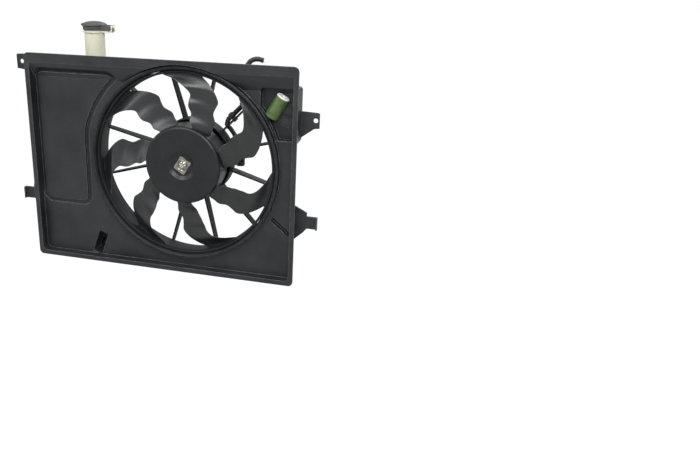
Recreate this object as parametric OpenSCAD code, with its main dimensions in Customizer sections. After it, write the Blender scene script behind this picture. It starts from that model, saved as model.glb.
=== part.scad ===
// Radiator cooling fan of a compact car: shroud, ring fan, electric motor,
// coolant overflow tank, speed resistor and wiring.
// X runs across the radiator, Y from the radiator to the engine, Z up.
// The origin is the middle of the bounding box, at the bottom edge.

/* [Panel] */
// Width of the shroud panel
panel_w = 535; // [525:1:560]
// Height of the shroud panel
panel_h = 410; // [405:1:425]
// Depth of the panel tray, from the sealing face to the back of the floor
panel_depth = 20; // [17:1:21]
// Wall thickness of the shroud moulding
wall = 2.5; // [2:0.1:3]
// Corner radius of the panel
corner_r = 9; // [5:1:12]
// Width of the sealing rim at the sides and the bottom
rim_w = 9; // [8:0.5:11]
// Width of the sealing rim along the top
top_rim_w = 18; // [14:1:20]
// Height of the slope between the top rim and the panel floor
slope_h = 30; // [20:1:32]

/* [Brackets] */
// How far the brackets reach past the panel
bracket_reach = 38; // [34:1:44]
// Distance of the brackets from the sealing face
bracket_y = 27; // [25:1:32]
// Radius of the two mounting bolt holes
bolt_r = 4.2; // [3.3:0.1:5]
// Height of the left bolt hole above the bottom edge
left_bolt_z = 388; // [380:1:392]
// Height of the right bolt hole above the bottom edge
right_bolt_z = 314; // [306:1:320]
// Distance of each bolt hole from the panel edge
bolt_out = 27; // [24:1:29]
// Height of the lower hooks above the bottom edge
hook_z = 122; // [110:1:130]
// Height of the hook blades
hook_h = 24; // [20:1:28]

/* [Fan] */
// Distance of the fan axis to the right of the panel's middle
fan_x = 47; // [44:1:52]
// Height of the fan axis above the bottom edge
fan_z = 214; // [211:1:217]
// Outer radius of the fan's own band
band_r = 174.5; // [168:0.5:176]
// Thickness of the fan's band
band_t = 2.5; // [2:0.1:3]
// Axial width of the fan's band
band_w = 24; // [18:1:28]
// Distance of the band's front edge from the sealing face
band_y = 12; // [10:0.5:14]
// Radius of the fan hub
hub_r = 75; // [72:0.5:76]
// Axial depth of the fan hub
hub_depth = 48; // [40:1:50]
// Distance of the hub's front face from the sealing face
hub_y = 5; // [4:0.5:6]
// Wall thickness of the fan hub
hub_wall = 3; // [2.5:0.1:3.5]
// Number of blades
blade_count = 7; // [5:1:9]
// Thickness of a blade
blade_t = 3; // [2:0.1:4]
// Distance of the blades' leading edges from the sealing face
blade_front = 14; // [13:0.5:16]
// Axial height of a blade, from its leading to its trailing edge
blade_rise = 15; // [10:0.5:17]
// Running gap between the fan's band and the shroud ring
tip_gap = 3; // [2:0.1:4]

/* [Ring and carrier] */
// Distance of the ring's rear edge from the sealing face
ring_rear = 66; // [60:1:68]
// How far the scalloped lip stands out of the ring
lip_w = 7; // [5:0.5:8]
// Number of scallops round the ring
scallops = 48; // [36:12:60]
// Number of carrier spokes
spoke_count = 12; // [12:1:12]
// Thickness of a spoke
spoke_t = 3.2; // [2.5:0.1:4]
// Axial height of a spoke at the carrier
spoke_h = 20; // [16:1:22]
// Radius of the motor carrier
carrier_r = 79; // [78:0.5:84]
// Distance of the carrier's rear face from the sealing face
carrier_rear = 94; // [92:1:97]
// Depth of the carrier's skirt
skirt_h = 32; // [26:1:33]

/* [Motor] */
// Outer radius of the motor can
can_r = 52; // [48:0.5:56]
// Length of the motor can
can_len = 60; // [58:1:62]
// Wall thickness of the motor can
can_t = 2; // [1.6:0.1:2.4]
// Radius of the motor shaft
shaft_r = 4; // [3.5:0.1:4.5]
// Radius of the armature core
core_r = 38; // [34:0.5:39]
// Length of the armature core
core_len = 24; // [20:1:26]
// Number of armature slots
slots = 12; // [8:1:16]
// Gap between the magnets and the armature
air_gap = 1; // [0.7:0.1:1.4]
// Outer radius of the shaft bearings
bearing_r = 11; // [10:0.5:12]
// Width of the shaft bearings
bearing_w = 7; // [6:0.5:8]
// Radius of the commutator
commutator_r = 13; // [11:0.5:14]
// Radius of the circle that the motor screws lie on
screw_circle = 66; // [64:0.5:68]
// Radius of the motor screws' shanks
screw_r = 2.5; // [2:0.1:3]

/* [Tank] */
// Depth of the coolant tank, from front to back
tank_depth = 44; // [38:1:46]
// Wall thickness of the tank
tank_wall = 2.2; // [1.8:0.1:2.8]
// Radius of the tank's long edges
tank_edge_r = 9; // [6:0.5:11]
// Height of the tank's lower end above the bottom edge
tank_bottom = 104; // [98:1:112]
// Outer radius of the filler neck
neck_r = 19; // [17:0.5:20]
// Height of the neck's rim above the top edge of the panel
neck_rise = 46; // [38:1:54]
// Distance of the neck from the left edge of the panel
neck_in = 118; // [112:1:124]
// Outer radius of the cap
cap_r = 23; // [22:0.5:24]
// Distance of the cap's hinge pin from the neck axis
cap_hinge_out = 35; // [34:1:38]
// Outer radius of the overflow hose nipple
nipple_r = 3.5; // [3:0.1:4.5]

/* [Electrics] */
// Radius of the speed resistor
resistor_r = 12.5; // [11:0.5:13]
// Length of the speed resistor
resistor_len = 45; // [40:1:46]
// Tilt of the resistor from level
resistor_tilt = 60; // [56:1:64]
// Depth of the resistor pocket, from the sealing face
pocket_depth = 36; // [34:1:40]
// Width of the fixed connector
connector_w = 26; // [24:1:30]
// Outer diameter of the corrugated conduit
conduit_d = 10; // [8:0.5:10]

/* [Hidden] */
$fn = 64;
e = 0.01;
// Side-to-side clearance of pieces that only lie against each other
seat_gap = 0.3;
// Radial running clearance of the cap's hinge pin
pin_gap = 0.08;
// Radial gap between the blades and the pieces that carry them
weld_gap = 0.06;
// Clearance of screws in their holes
hole_gap = 0.25;

left_x = -panel_w / 2;
right_x = panel_w / 2;
inner_side = rim_w;
slope_top_z = panel_h - top_rim_w;
floor_top_z = slope_top_z - slope_h;

// Plateau under the tank, with the groove round it
channel_w = 9;
channel_len = 46;
channel_deep = 9;
groove_w = 9;
groove_deep = 4;
plateau_rise = 1.5;
plateau_x0 = left_x + 18;
plateau_x1 = fan_x - 139;
plateau_mid_x = fan_x - 205;
plateau_z0 = 120;
plateau_z1 = panel_h - 36;
plateau_arc_r = band_r + 35.5;

// Pocket of the resistor
pocket_x0 = right_x - 75.5;
pocket_z1 = floor_top_z + 10;
pocket_z0 = pocket_z1 - 100;

// Ring
ring_in = band_r + tip_gap;
ring_out = ring_in + wall;
lip_r = ring_out + lip_w;
ring_seat = ring_out + 8;
mouth_y = 5;
flare = 4;
flare_y = band_y + band_w + 4;
lip_h = 9;

// Carrier and motor, from rear to front
motor_seat = carrier_rear - wall - 1.5;
can_front = motor_seat - can_len;
skirt_front = carrier_rear - skirt_h;
spoke_out = lip_r + seat_gap + 3.4;
spoke_rear = ring_rear + 14;
ear_t = 2;
can_in = can_r - can_t;
magnet_out = can_in - 0.05;
magnet_in = core_r + air_gap;
front_bearing_y = can_front - 2;
rear_bearing_y = motor_seat - bearing_w - 1.2;
winding_t = 6;
core_y = front_bearing_y + bearing_w + winding_t + 0.8;
commutator_y = core_y + core_len + 2;
commutator_len = rear_bearing_y - commutator_y - 0.6;
plate_t = 2.5;
plate_y = motor_seat - can_t - plate_t;
brush_w = 8;
brush_h = 7;
brush_len = 12;
brush_y = commutator_y + commutator_len - brush_h;
holder_t = 1.6;
holder_r = commutator_r + 23;
spring_r = 3;
shaft_front = hub_y + 1;
insert_r = 9;
insert_y = hub_y + 7;
insert_len = 16;
recess_r = 24;
recess_deep = 5;
clip_side = 27;
clip_t = 2;
shaft_gap = 0.03;

// Tank
tank_front = panel_depth + groove_deep + seat_gap;
tank_rear = tank_front + tank_depth;
tank_left = left_x + 16;
tank_top = panel_h - 11.5;
tank_arc_r = band_r + 38.5;
nipple_z = tank_top - 22;
nipple_len = 31.5;
nipple_free = 18;
hook_y = ring_rear - lip_h - 9;
spigot_r = 4;
spigot_len = 4.5;
spigot_places = [[tank_left + 36, tank_top - 50], [tank_left + 40, tank_bottom + 50]];
neck_x = left_x + neck_in;
neck_y = tank_rear - 6;
neck_top = panel_h + neck_rise;
hinge_x = neck_x + cap_hinge_out;
hinge_z = neck_top - 3;
hinge_pin_r = 1.8;
eye_r = 4;
eye_w = 10;
ear_w = 2;
seal_t = 1.6;

// Tray round the tank
tray_wall_z = tank_top + 1.2;
tray_right_x = -64;
tray_rear = 52;

// Tower at the lower edge
tower_x = left_x + 131;
tower_z = 33;
tower_tilt = 20;
tower_w = 25;
tower_len = 54;
tower_step_y = 47;
tower_shoulder_y = 64;
tower_rear = 75;

// Resistor and connector
resistor_x = right_x - 41.1;
resistor_z = pocket_z1 - 36.3;
resistor_y = 16.5;
rivet_x = right_x - 21.5;
rivet_z = [pocket_z1 - 22, pocket_z1 - 41];
rivet_r = 2;
rivet_head_t = 1.5;
sheet_t = 1.4;
block_x = right_x - 28.5;
block_z = pocket_z1 - 65;
block_tilt = 22.6;
block_h = 17;
block_len = 33;
block_front = pocket_depth;
plug_len = 26;
plug_r = 7.5;
plug_off = 8;
plug_y = block_front + 9;

// Lane of the conduit: round the carrier's rim, then beside a spoke
conduit_r = conduit_d / 2;
clip_wall = 1.8;
clip_w = 7;
lane_r = carrier_r + conduit_r + 7;
lane_y = carrier_rear - conduit_r - 0.3;
lane_off = spoke_t / 2 + seat_gap + clip_wall + conduit_r + 0.1;
clip_spoke = 45;
clip_at = [112, 146];
boot_r = 8;
boot_z0 = fan_z - 11;
boot_z1 = fan_z + 6;

// Point at an angle clockwise from straight up, round the fan axis
function polar(r, angle, y) = [fan_x + r * sin(angle), y, fan_z + r * cos(angle)];
// Point beside the clip spoke
function beside(r, y) = [fan_x + r * sin(clip_spoke) - lane_off * cos(clip_spoke), y,
    fan_z + r * cos(clip_spoke) + lane_off * sin(clip_spoke)];

// Points of the conduit, from the motor lead boot round the carrier and along a spoke
conduit_route = concat(
    [[fan_x + lane_r, lane_y - 4, boot_z1 - 6], [fan_x + lane_r, lane_y - 4, boot_z1 + 2]],
    [for (angle = [80, 72, 64, 56, 49, 43]) polar(lane_r, angle, lane_y)],
    [beside(clip_at[0] - 10, lane_y - 2), beside(clip_at[0] - 4, lane_y - 3),
        beside(clip_at[0] + 4, lane_y - 3), beside((clip_at[0] + clip_at[1]) / 2, lane_y - 5),
        beside(clip_at[1] - 4, lane_y - 7), beside(clip_at[1] + 4, lane_y - 7)],
    [[151.5, 81, 340], [151.5, 81, 354], [149, 81, 368], [148, 81, 382], [150, 81, 394],
        [155, 80.5, 403], [163, 80, 408.5], [172, 79.5, 410], [182, 79, 408]]);
wire_r = 2;

// Point on the axis of the plug, x along it from the middle of the fixed connector
function on_plug(x) = [block_x + x * cos(block_tilt) + plug_off * sin(block_tilt), plug_y,
    block_z - x * sin(block_tilt) + plug_off * cos(block_tilt)];
plug_end = -connector_w / 2 - 8 - seat_gap - plug_len;
wire_route = [[182.5, 79, 407.8], [188, 77.5, 403], [191, 73, 394], [192, 67, 383], [192, 60, 371],
    [191, 54, 360], [189.5, 49.5, 351], on_plug(plug_end - 12) + [0, 1.5, 5],
    on_plug(plug_end - 5) + [0, 0, 0.6], on_plug(plug_end - 1), on_plug(plug_end + 6)];

// Extrudes an X-Z shape between two distances from the sealing face
module along_y(y0, y1) {
    translate([0, y1, 0]) rotate([90, 0, 0]) linear_extrude(y1 - y0) children();
}

// Extrudes a Y-Z shape between two places across the panel
module along_x(x0, x1) {
    translate([x0, 0, 0]) rotate([90, 0, 90]) linear_extrude(x1 - x0) children();
}

// Puts a shape that is drawn round Z onto the fan axis, with Z along Y
module on_axis(y = 0) {
    translate([fan_x, y, fan_z]) rotate([-90, 0, 0]) children();
}

// Moves the design frame to the middle of the bounding box
module place() {
    translate([0, -carrier_rear / 2, 0]) children();
}

// Ring between two radii
module tube(r_out, r_in, h) {
    difference() {
        cylinder(r = r_out, h = h);
        translate([0, 0, -1]) cylinder(r = r_in, h = h + 2);
    }
}

// Rectangle with round corners
module plate(x0, z0, x1, z1, r) {
    translate([x0 + r, z0]) square([x1 - x0 - 2 * r, z1 - z0]);
    translate([x0, z0 + r]) square([x1 - x0, z1 - z0 - 2 * r]);
    for (x = [x0 + r, x1 - r], z = [z0 + r, z1 - r])
        translate([x, z]) circle(r);
}

// Outline of the plateau under the tank, grown by g
module plateau_2d(g) {
    plate(plateau_x0 - g, plateau_z0 - g, plateau_mid_x + g, plateau_z1 + g, 12 + g);
    difference() {
        plate(plateau_x0 - g, fan_z, plateau_x1 + g, plateau_z1 + g, 12 + g);
        translate([fan_x, fan_z]) circle(r = plateau_arc_r - g, $fn = 128);
    }
}

// Solid form of the panel's tray, inset by i, from y0 to its floor at y1
module tray_body(i, y0, y1) {
    intersection() {
        along_x(left_x, right_x)
            polygon([[y0, inner_side - wall + i], [y1, inner_side - wall + i],
                [y1, floor_top_z], [wall - i, slope_top_z], [y0, slope_top_z]]);
        along_y(y0 - 1, y1 + 1)
            plate(left_x + inner_side - wall + i, inner_side - wall + i,
                right_x - inner_side + wall - i, panel_h - i, corner_r);
    }
}

// Solid form of the resistor pocket, inset by i
module pocket_body(i, y0) {
    along_y(y0, pocket_depth - i)
        plate(pocket_x0 + i, pocket_z0 + i, right_x - i, pocket_z1 - i, 6);
}

module bolt_tab(x_in, x_out, z, y, bottom_in) {
    s = sign(x_out);
    difference() {
        along_y(y - wall, y)
            polygon([[x_in, z + 16], [x_out - s * 2, z + 14], [x_out, z + 12],
                [x_out, z - 14], [x_out - s * 9, z - 15],
                [x_in + s * 4, bottom_in + 6], [x_in, bottom_in]]);
        translate([s * (panel_w / 2 + bolt_out), y + 1, z])
            rotate([90, 0, 0]) cylinder(r = bolt_r, h = wall + 2);
    }
}

module hook(s) {
    x_in = s * (panel_w / 2 - inner_side + wall / 2);
    x_mid = s * (panel_w / 2 + 18);
    x_out = s * (panel_w / 2 + bracket_reach);
    along_y(bracket_y - wall, bracket_y)
        polygon([[x_in, hook_z + 32], [x_mid, hook_z + hook_h / 2 + 7],
            [x_mid, hook_z + hook_h / 2], [x_out, hook_z + hook_h / 2],
            [x_out, hook_z - hook_h / 2], [x_mid, hook_z - hook_h / 2],
            [x_mid - s * 6, hook_z - hook_h / 2 - 8], [x_in, hook_z - 38]]);
    // Turned-in tongue at the end of the hook
    along_y(bracket_y - 8, bracket_y - wall)
        translate([min(x_out, x_out - s * wall), hook_z - hook_h / 2])
            square([wall, hook_h]);
    // Web that stands the bracket off the panel
    along_y(panel_depth - wall, bracket_y)
        translate([min(x_in, x_in - s * wall), hook_z - 38]) square([wall, 70]);
}

// Wall that holds the tank at the top and the left, with the left bolt tab
module tank_tray() {
    side_x = left_x + inner_side - wall;
    color("#343638") place() difference() {
        union() {
            along_y(wall, tray_rear)
                translate([side_x, tray_wall_z]) square([tray_right_x - side_x, wall]);
            along_y(wall, tray_rear - 14)
                translate([side_x, left_bolt_z - 30]) square([wall, tray_wall_z - left_bolt_z + 32]);
            along_y(wall, tray_rear - 8)
                translate([tray_right_x - wall, slope_top_z]) square([wall, tray_wall_z - slope_top_z + 1]);
            // Ribs that brace the wall from the top rim
            for (x = [left_x + 34, left_x + 76, neck_x + 34, neck_x + 62])
                along_x(x, x + wall)
                    polygon([[wall, panel_h - 2], [wall, tray_wall_z + 1],
                        [tray_rear - 10, tray_wall_z + 1], [tray_rear - 10, tray_wall_z + 3.5]]);
            bolt_tab(side_x, left_x - bracket_reach, left_bolt_z, tray_rear - 16, left_bolt_z - 26);
        }
        // Notch for the filler neck
        translate([neck_x, neck_y, panel_h - 30]) cylinder(r = neck_r + 2, h = 60);
        translate([neck_x - neck_r - 2, neck_y, panel_h - 30]) cube([2 * neck_r + 4, 40, 60]);
        // The wall gets lower towards the left end
        along_y(tray_rear - 14, tray_rear + 1)
            translate([left_x - 1, tray_wall_z - 10]) square([30, 30]);
        tray_body(0, -1, panel_depth);
        along_y(panel_depth - wall, panel_depth + groove_deep) plateau_2d(groove_w + wall);
    }
}

// Deep pocket of the resistor behind the panel, closed towards the ring
module resistor_pocket() {
    color("#343638") place() difference() {
        union() {
            difference() {
                pocket_body(0, panel_depth);
                pocket_body(wall, wall);
            }
            intersection() {
                pocket_body(0, panel_depth);
                on_axis() cylinder(r = ring_seat + wall, h = pocket_depth);
            }
            // Outer walls between the rim and the panel's floor
            intersection() {
                difference() {
                    pocket_body(0, wall);
                    pocket_body(wall, 0);
                }
                along_y(wall, panel_depth) translate([right_x - inner_side + wall, pocket_z0])
                    square([inner_side, pocket_z1 - pocket_z0]);
            }
            // Round boss at the pocket's upper corner
            translate([pocket_x0 + 5, panel_depth, pocket_z1 + 6]) rotate([-90, 0, 0])
                cylinder(r = 6.5, h = 9.5);
        }
        on_axis() cylinder(r = ring_seat, h = pocket_depth + 1, $fn = 128);
        // Window that the connector's pins pass through
        on_block() along_y(-wall - 1, 1) square([connector_w - 8, 16], center = true);
        // Holes of the resistor's rivets
        for (p = rivet_places()) translate([p[0], 0, p[1]])
            rotate([-90, 0, 0]) cylinder(r = rivet_r + hole_gap, h = 60);
    }
}

module hose_tower() {
    color("#343638") place() difference() {
        tower(0, wall);
        tower(wall, -1);
        tray_body(0, -1, panel_depth);
    }
}

// Right bolt tab and the two lower hooks
module side_brackets() {
    color("#343638") place() difference() {
        union() {
            bolt_tab(right_x - inner_side + wall / 2, right_x + bracket_reach - 4, right_bolt_z,
                bracket_y + 2, right_bolt_z - 42);
            for (s = [-1, 1]) hook(s);
        }
        tray_body(0, -1, panel_depth);
        pocket_body(0, 0);
        channel_body(wall, panel_depth - wall, panel_depth + channel_deep);
        along_y(panel_depth - wall, panel_depth + groove_deep) plateau_2d(groove_w + wall);
    }
}

module shroud_panel() {
    color("#343638") place() difference() {
        union() {
            along_y(0, wall) plate(left_x, 0, right_x, panel_h, corner_r);
            tray_body(0, 0, panel_depth);
            along_y(panel_depth - wall, panel_depth + groove_deep)
                plateau_2d(groove_w + wall);
            // Collar round the ring where the top slope is cut by it
            on_axis() tube(ring_seat + wall, ring_seat - 1, panel_depth, $fn = 128);
            // Sockets of the tank's spigots
            for (p = spigot_places) translate([p[0], panel_depth - plateau_rise - 1, p[1]])
                rotate([-90, 0, 0]) cylinder(r = spigot_r + 3, h = 1 + plateau_rise + groove_deep);
            channel_body(wall, panel_depth - wall, panel_depth + channel_deep);
        }
        // Hollow of the tray, open to the radiator, round the plateau's own floor
        difference() {
            tray_body(wall, -1, panel_depth - wall);
            along_y(panel_depth - wall - plateau_rise, panel_depth)
                plateau_2d(0);
        }
        pocket_body(wall, wall);
        // Groove round the plateau, and the hollow behind the plateau
        along_y(1, panel_depth + groove_deep - wall) difference() {
            plateau_2d(groove_w);
            plateau_2d(0);
        }
        along_y(panel_depth - plateau_rise, panel_depth + groove_deep + 1) difference() {
            plateau_2d(-wall);
            for (p = spigot_places) translate(p) circle(r = spigot_r + 3);
        }
        for (p = spigot_places) translate([p[0], panel_depth - plateau_rise, p[1]])
            rotate([-90, 0, 0]) cylinder(r = spigot_r + hole_gap, h = 20);
        // Seat of the venturi ring
        on_axis(-1) cylinder(r = ring_seat, h = panel_depth + 40, $fn = 128);
        tower(wall, -1);
        channel_body(0, wall, panel_depth + channel_deep - wall);
    }
}

// Diagonal channel between the ring and the right edge, grown by g
module channel_body(g, y0, y1) {
    translate([right_x - 29.5, 0, fan_z - 104]) rotate([0, 39, 0])
        translate([-channel_len / 2 - g, y0, -channel_w / 2 - g])
            cube([channel_len + 2 * g, y1 - y0, channel_w + 2 * g]);
}

// Stepped hollow tower at the lower edge, inset by i, from y0
module tower(i, y0) {
    translate([tower_x, 0, tower_z]) rotate([0, tower_tilt, 0]) {
        along_y(y0, tower_step_y - i) translate([-tower_w / 2 + i, -tower_len / 2 + i])
            square([tower_w - 2 * i, tower_len - 2 * i]);
        along_y(y0, tower_shoulder_y - i) translate([-tower_w / 2 + i + 0.5, -tower_len / 2 + i])
            square([tower_w - 2 * i - 1, tower_len * 0.55 - 2 * i]);
        along_y(y0, tower_rear - i) translate([-tower_w / 2 + i + 4.5, -tower_len / 2 + i + 2])
            square([tower_w - 2 * i - 9, tower_len * 0.55 - 2 * i - 4]);
    }
}

function rivet_places() = [for (z = rivet_z) [rivet_x, z]];

module venturi_ring() {
    color("#3a3c3d") place() on_axis() {
        // Rounded mouth, groove at its foot, straight wall and flared rear end
        rotate_extrude($fn = 128) polygon([
            [ring_in, mouth_y + 8], [ring_in + 1.5, mouth_y + 3], [ring_in + 4, mouth_y + 0.4],
            [ring_in + 6.5, mouth_y], [ring_in + 8.5, mouth_y + 1], [ring_in + 9.3, mouth_y + 4],
            [ring_in + 9.3, panel_depth - wall - 2], [ring_seat - e, panel_depth - wall - 2],
            [ring_seat - e, panel_depth], [ring_in + 6.8, panel_depth],
            [ring_in + 6.8, mouth_y + 5], [ring_in + 5.5, mouth_y + 3], [ring_in + 4, mouth_y + 4],
            [ring_out, mouth_y + 9], [ring_out, flare_y], [ring_out + flare, ring_rear],
            [ring_in + flare, ring_rear], [ring_in, flare_y]]);
        // Scalloped lip round the rear edge
        translate([0, 0, ring_rear - lip_h]) linear_extrude(lip_h) difference() {
            union() {
                circle(r = lip_r - 3, $fn = 128);
                for (i = [0 : scallops - 1]) rotate((i + 0.5) * 360 / scallops)
                    translate([lip_r - 7, 0]) circle(r = 7 - 0.3);
            }
            circle(r = ring_in + flare + 0.5, $fn = 128);
        }
        // Ribs under the lip
        for (i = [0 : scallops - 1]) rotate(i * 360 / scallops) rotate([90, 0, 0])
            translate([0, 0, -0.9]) linear_extrude(1.8) polygon([
                [ring_out - 1, panel_depth + 1], [ring_out + lip_w - 2.5, panel_depth + 1],
                [ring_out + lip_w - 2.5, ring_rear - 1], [ring_out + flare - 1, ring_rear - 1],
                [ring_out - 1, flare_y]]);
    }
}

module spoke() {
    // Side view of one spoke: out from the skirt, over the lip and down outside it
    translate([0, spoke_t / 2, 0]) rotate([90, 0, 0]) linear_extrude(spoke_t) polygon([
        [carrier_r - 1.5, carrier_rear - 2.5], [carrier_r + 20, carrier_rear - 4],
        [spoke_out - 8, spoke_rear + 1], [spoke_out - 2, spoke_rear - 2.5],
        [spoke_out, spoke_rear - 8], [spoke_out, ring_rear - lip_h - 14],
        [lip_r + seat_gap, ring_rear - lip_h - 14], [lip_r + seat_gap, ring_rear],
        [ring_in, ring_rear], [ring_in - 14, ring_rear + 1],
        [carrier_r + 10, carrier_rear - spoke_h - 3], [carrier_r - 1.5, carrier_rear - spoke_h - 3]]);
}

module motor_carrier() {
    color("#6a6a66") place() difference() {
        union() {
            on_axis() {
                // Disc with a shallow dome, and its skirt
                rotate_extrude($fn = 128) polygon([
                    [0, carrier_rear - wall - 1.5], [screw_circle - 10, carrier_rear - wall - 1.5],
                    [carrier_r - wall, carrier_rear - wall - 3], [carrier_r - wall, skirt_front],
                    [carrier_r, skirt_front], [carrier_r, carrier_rear - 3],
                    [carrier_r - 3, carrier_rear - 1.2], [screw_circle - 8, carrier_rear - 0.8],
                    [screw_circle - 10, carrier_rear], [0, carrier_rear]]);
                for (i = [0 : spoke_count - 1]) rotate((i + 0.5) * 360 / spoke_count) spoke();
                // Screw bosses inside the disc
                for (i = [0 : 2]) rotate(90 + i * 120)
                    translate([screw_circle, 0, motor_seat - 6]) cylinder(r = 5.5, h = 6);
            }
        }
        // Notches in the disc's rim over the motor screws, and the screw holes
        on_axis() for (i = [0 : 2]) rotate(90 + i * 120) {
            translate([screw_circle - 5, -9, carrier_rear - 1.6]) cube([13, 18, 5]);
            translate([screw_circle, 0, 0]) cylinder(r = screw_r + hole_gap, h = carrier_rear - wall - 1);
        }
        // Outlet of the motor leads at the right side
        on_axis() translate([can_r + 4, -6, skirt_front + 5]) cube([carrier_r - can_r, 12, 10]);
        // Saddles in the spokes that the conduit crosses
        on_axis(lane_y - conduit_r - 0.4) rotate([0, 0, -52]) rotate_extrude(angle = 46)
            translate([lane_r - conduit_r - 0.5, 0]) square([2 * conduit_r + 1, 20]);
    }
}

// Blade angles run clockwise from straight up, as seen from the radiator
lead_angles = [14, 9.5, 9, 6.4, 6, 6.1, 2, -5, -13];
trail_angles = [41, 38, 36, 30, 29, 28.6, 24, 17.5, 11];
root_r = hub_r + weld_gap;
tip_r = band_r - band_t - weld_gap;
blade_rows = 16;
blade_steps = 8;

function smooth(list, t) =
    let (n = len(list) - 1, i = min(floor(t * n), n - 1), u = t * n - i,
        p0 = list[max(i - 1, 0)], p1 = list[i], p2 = list[i + 1], p3 = list[min(i + 2, n)])
    p1 + 0.5 * u * (p2 - p0 + u * (2 * p0 - 5 * p1 + 4 * p2 - p3 + u * (3 * (p1 - p2) + p3 - p0)));

// Point of a blade: s along the span, c along the chord, side -1 or 1
function blade_point(s, c, side) =
    let (r = root_r + s * (tip_r - root_r),
        a = smooth(lead_angles, s) * (1 - c) + smooth(trail_angles, s) * c - 90,
        rise = blade_rise * (1 - 0.25 * s),
        t = blade_t * (0.35 + 2.6 * c * (1 - c)) / 2,
        y = blade_front + 1.5 * s + rise * (c + 0.18 * sin(180 * c)) + 1.2 * sin(360 * s) * (1 - c))
    [r * cos(a), r * sin(a), y + side * t];

module blade() {
    across = blade_steps + 1;
    layer = across * (blade_rows + 1);
    function at(side, i, j) = side * layer + i * across + j;
    points = [for (side = [0, 1], i = [0 : blade_rows], j = [0 : blade_steps])
        blade_point(i / blade_rows, j / blade_steps, side == 0 ? 1 : -1)];
    faces = concat(
        [for (i = [0 : blade_rows - 1], j = [0 : blade_steps - 1], k = [0, 1])
            k == 0 ? [at(0, i, j), at(0, i, j + 1), at(0, i + 1, j + 1)]
                : [at(0, i, j), at(0, i + 1, j + 1), at(0, i + 1, j)]],
        [for (i = [0 : blade_rows - 1], j = [0 : blade_steps - 1], k = [0, 1])
            k == 0 ? [at(1, i, j), at(1, i + 1, j + 1), at(1, i, j + 1)]
                : [at(1, i, j), at(1, i + 1, j), at(1, i + 1, j + 1)]],
        [for (j = [0 : blade_steps - 1], end = [0, blade_rows], k = [0, 1])
            let (a = at(0, end, j), b = at(0, end, j + 1), c = at(1, end, j + 1), d = at(1, end, j),
                f = k == 0 ? [a, c, b] : [a, d, c])
            end == 0 ? f : [f[0], f[2], f[1]]],
        [for (i = [0 : blade_rows - 1], edge = [0, blade_steps], k = [0, 1])
            let (a = at(0, i, edge), b = at(0, i + 1, edge), c = at(1, i + 1, edge), d = at(1, i, edge),
                f = k == 0 ? [a, b, c] : [a, c, d])
            edge == 0 ? f : [f[0], f[2], f[1]]]);
    polyhedron(points, faces);
}

module fan_blades() {
    color("#2e3032") place() on_axis()
        for (i = [0 : blade_count - 1]) rotate(i * 360 / blade_count) blade();
}

module fan_hub() {
    color("#303234") place() on_axis() difference() {
        union() {
            rotate_extrude($fn = 128) polygon([
                [0, hub_y + recess_deep], [recess_r, hub_y + recess_deep],
                [recess_r + 9, hub_y + 1], [recess_r + 12, hub_y], [hub_r - 5, hub_y],
                [hub_r - 1.5, hub_y + 1.5], [hub_r, hub_y + 5], [hub_r, hub_y + hub_depth],
                [hub_r - hub_wall, hub_y + hub_depth], [hub_r - hub_wall, hub_y + 6],
                [hub_r - hub_wall - 3, hub_y + hub_wall], [recess_r + 12, hub_y + hub_wall],
                [recess_r + 1, hub_y + recess_deep + hub_wall],
                [insert_r + 4, hub_y + recess_deep + hub_wall],
                [insert_r + 3.5, insert_y + insert_len], [0, insert_y + insert_len]]);
            // Ribs inside the hub
            for (i = [0 : 7]) rotate(i * 45) translate([recess_r + 13, -1.1, hub_y + hub_wall - 0.5])
                cube([hub_r - hub_wall - recess_r - 12.5, 2.2, 12]);
        }
        // Seat of the metal insert, with the shaft's way through the recess
        translate([0, 0, insert_y]) cylinder(r = insert_r, h = insert_len + 1);
        cylinder(r = shaft_r + 1, h = insert_y + 1);
    }
}

module fan_band() {
    color("#2e3032") place() on_axis() rotate_extrude($fn = 128) polygon([
        [band_r - band_t, band_y + 2], [band_r - band_t + 1, band_y],
        [band_r, band_y], [band_r, band_y + band_w], [band_r - band_t, band_y + band_w]]);
}

module fan_insert() {
    color("#9a9c9e") place() on_axis(insert_y) difference() {
        cylinder(r = insert_r, h = insert_len);
        translate([0, 0, -1]) cylinder(r = shaft_r + shaft_gap, h = insert_len + 2);
    }
}

module fan_clip() {
    color("#c4c2bc") place() on_axis(hub_y + recess_deep - clip_t - e) rotate(-56) difference() {
        translate([-clip_side / 2, -clip_side / 2, 0]) cube([clip_side, clip_side, clip_t]);
        translate([0, 0, -1]) cylinder(r = shaft_r + shaft_gap, h = clip_t + 2);
    }
}

module motor_can() {
    color("#55585a") place() on_axis() difference() {
        union() {
            rotate_extrude($fn = 96) polygon([
                [bearing_r, front_bearing_y], [bearing_r + can_t, front_bearing_y],
                [bearing_r + can_t, can_front], [can_r - 4, can_front],
                [can_r - 1, can_front + 1.4], [can_r, can_front + 4.5],
                [can_r, motor_seat - can_t], [can_r + 3, motor_seat - can_t],
                [can_r + 3, motor_seat], [can_in, motor_seat],
                [can_in, can_front + can_t], [bearing_r, can_front + can_t]]);
            // Mounting ears
            for (i = [0 : 2]) rotate(90 + i * 120)
                translate([0, 0, motor_seat - 6 - ear_t - 0.05]) linear_extrude(ear_t) {
                    translate([can_r - 1, -9]) square([screw_circle - can_r + 1, 18]);
                    translate([screw_circle, 0]) circle(r = 9);
                }
        }
        for (i = [0 : 2]) rotate(90 + i * 120)
            translate([screw_circle, 0, motor_seat - 12]) cylinder(r = screw_r + hole_gap, h = 14);
    }
}

module field_magnets() {
    color("#3c3836") place() on_axis(core_y - 2) for (i = [0, 1]) rotate(i * 180)
        rotate_extrude(angle = 130, $fn = 96)
            translate([magnet_in, 0]) square([magnet_out - magnet_in, core_len + 4]);
}

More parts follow.
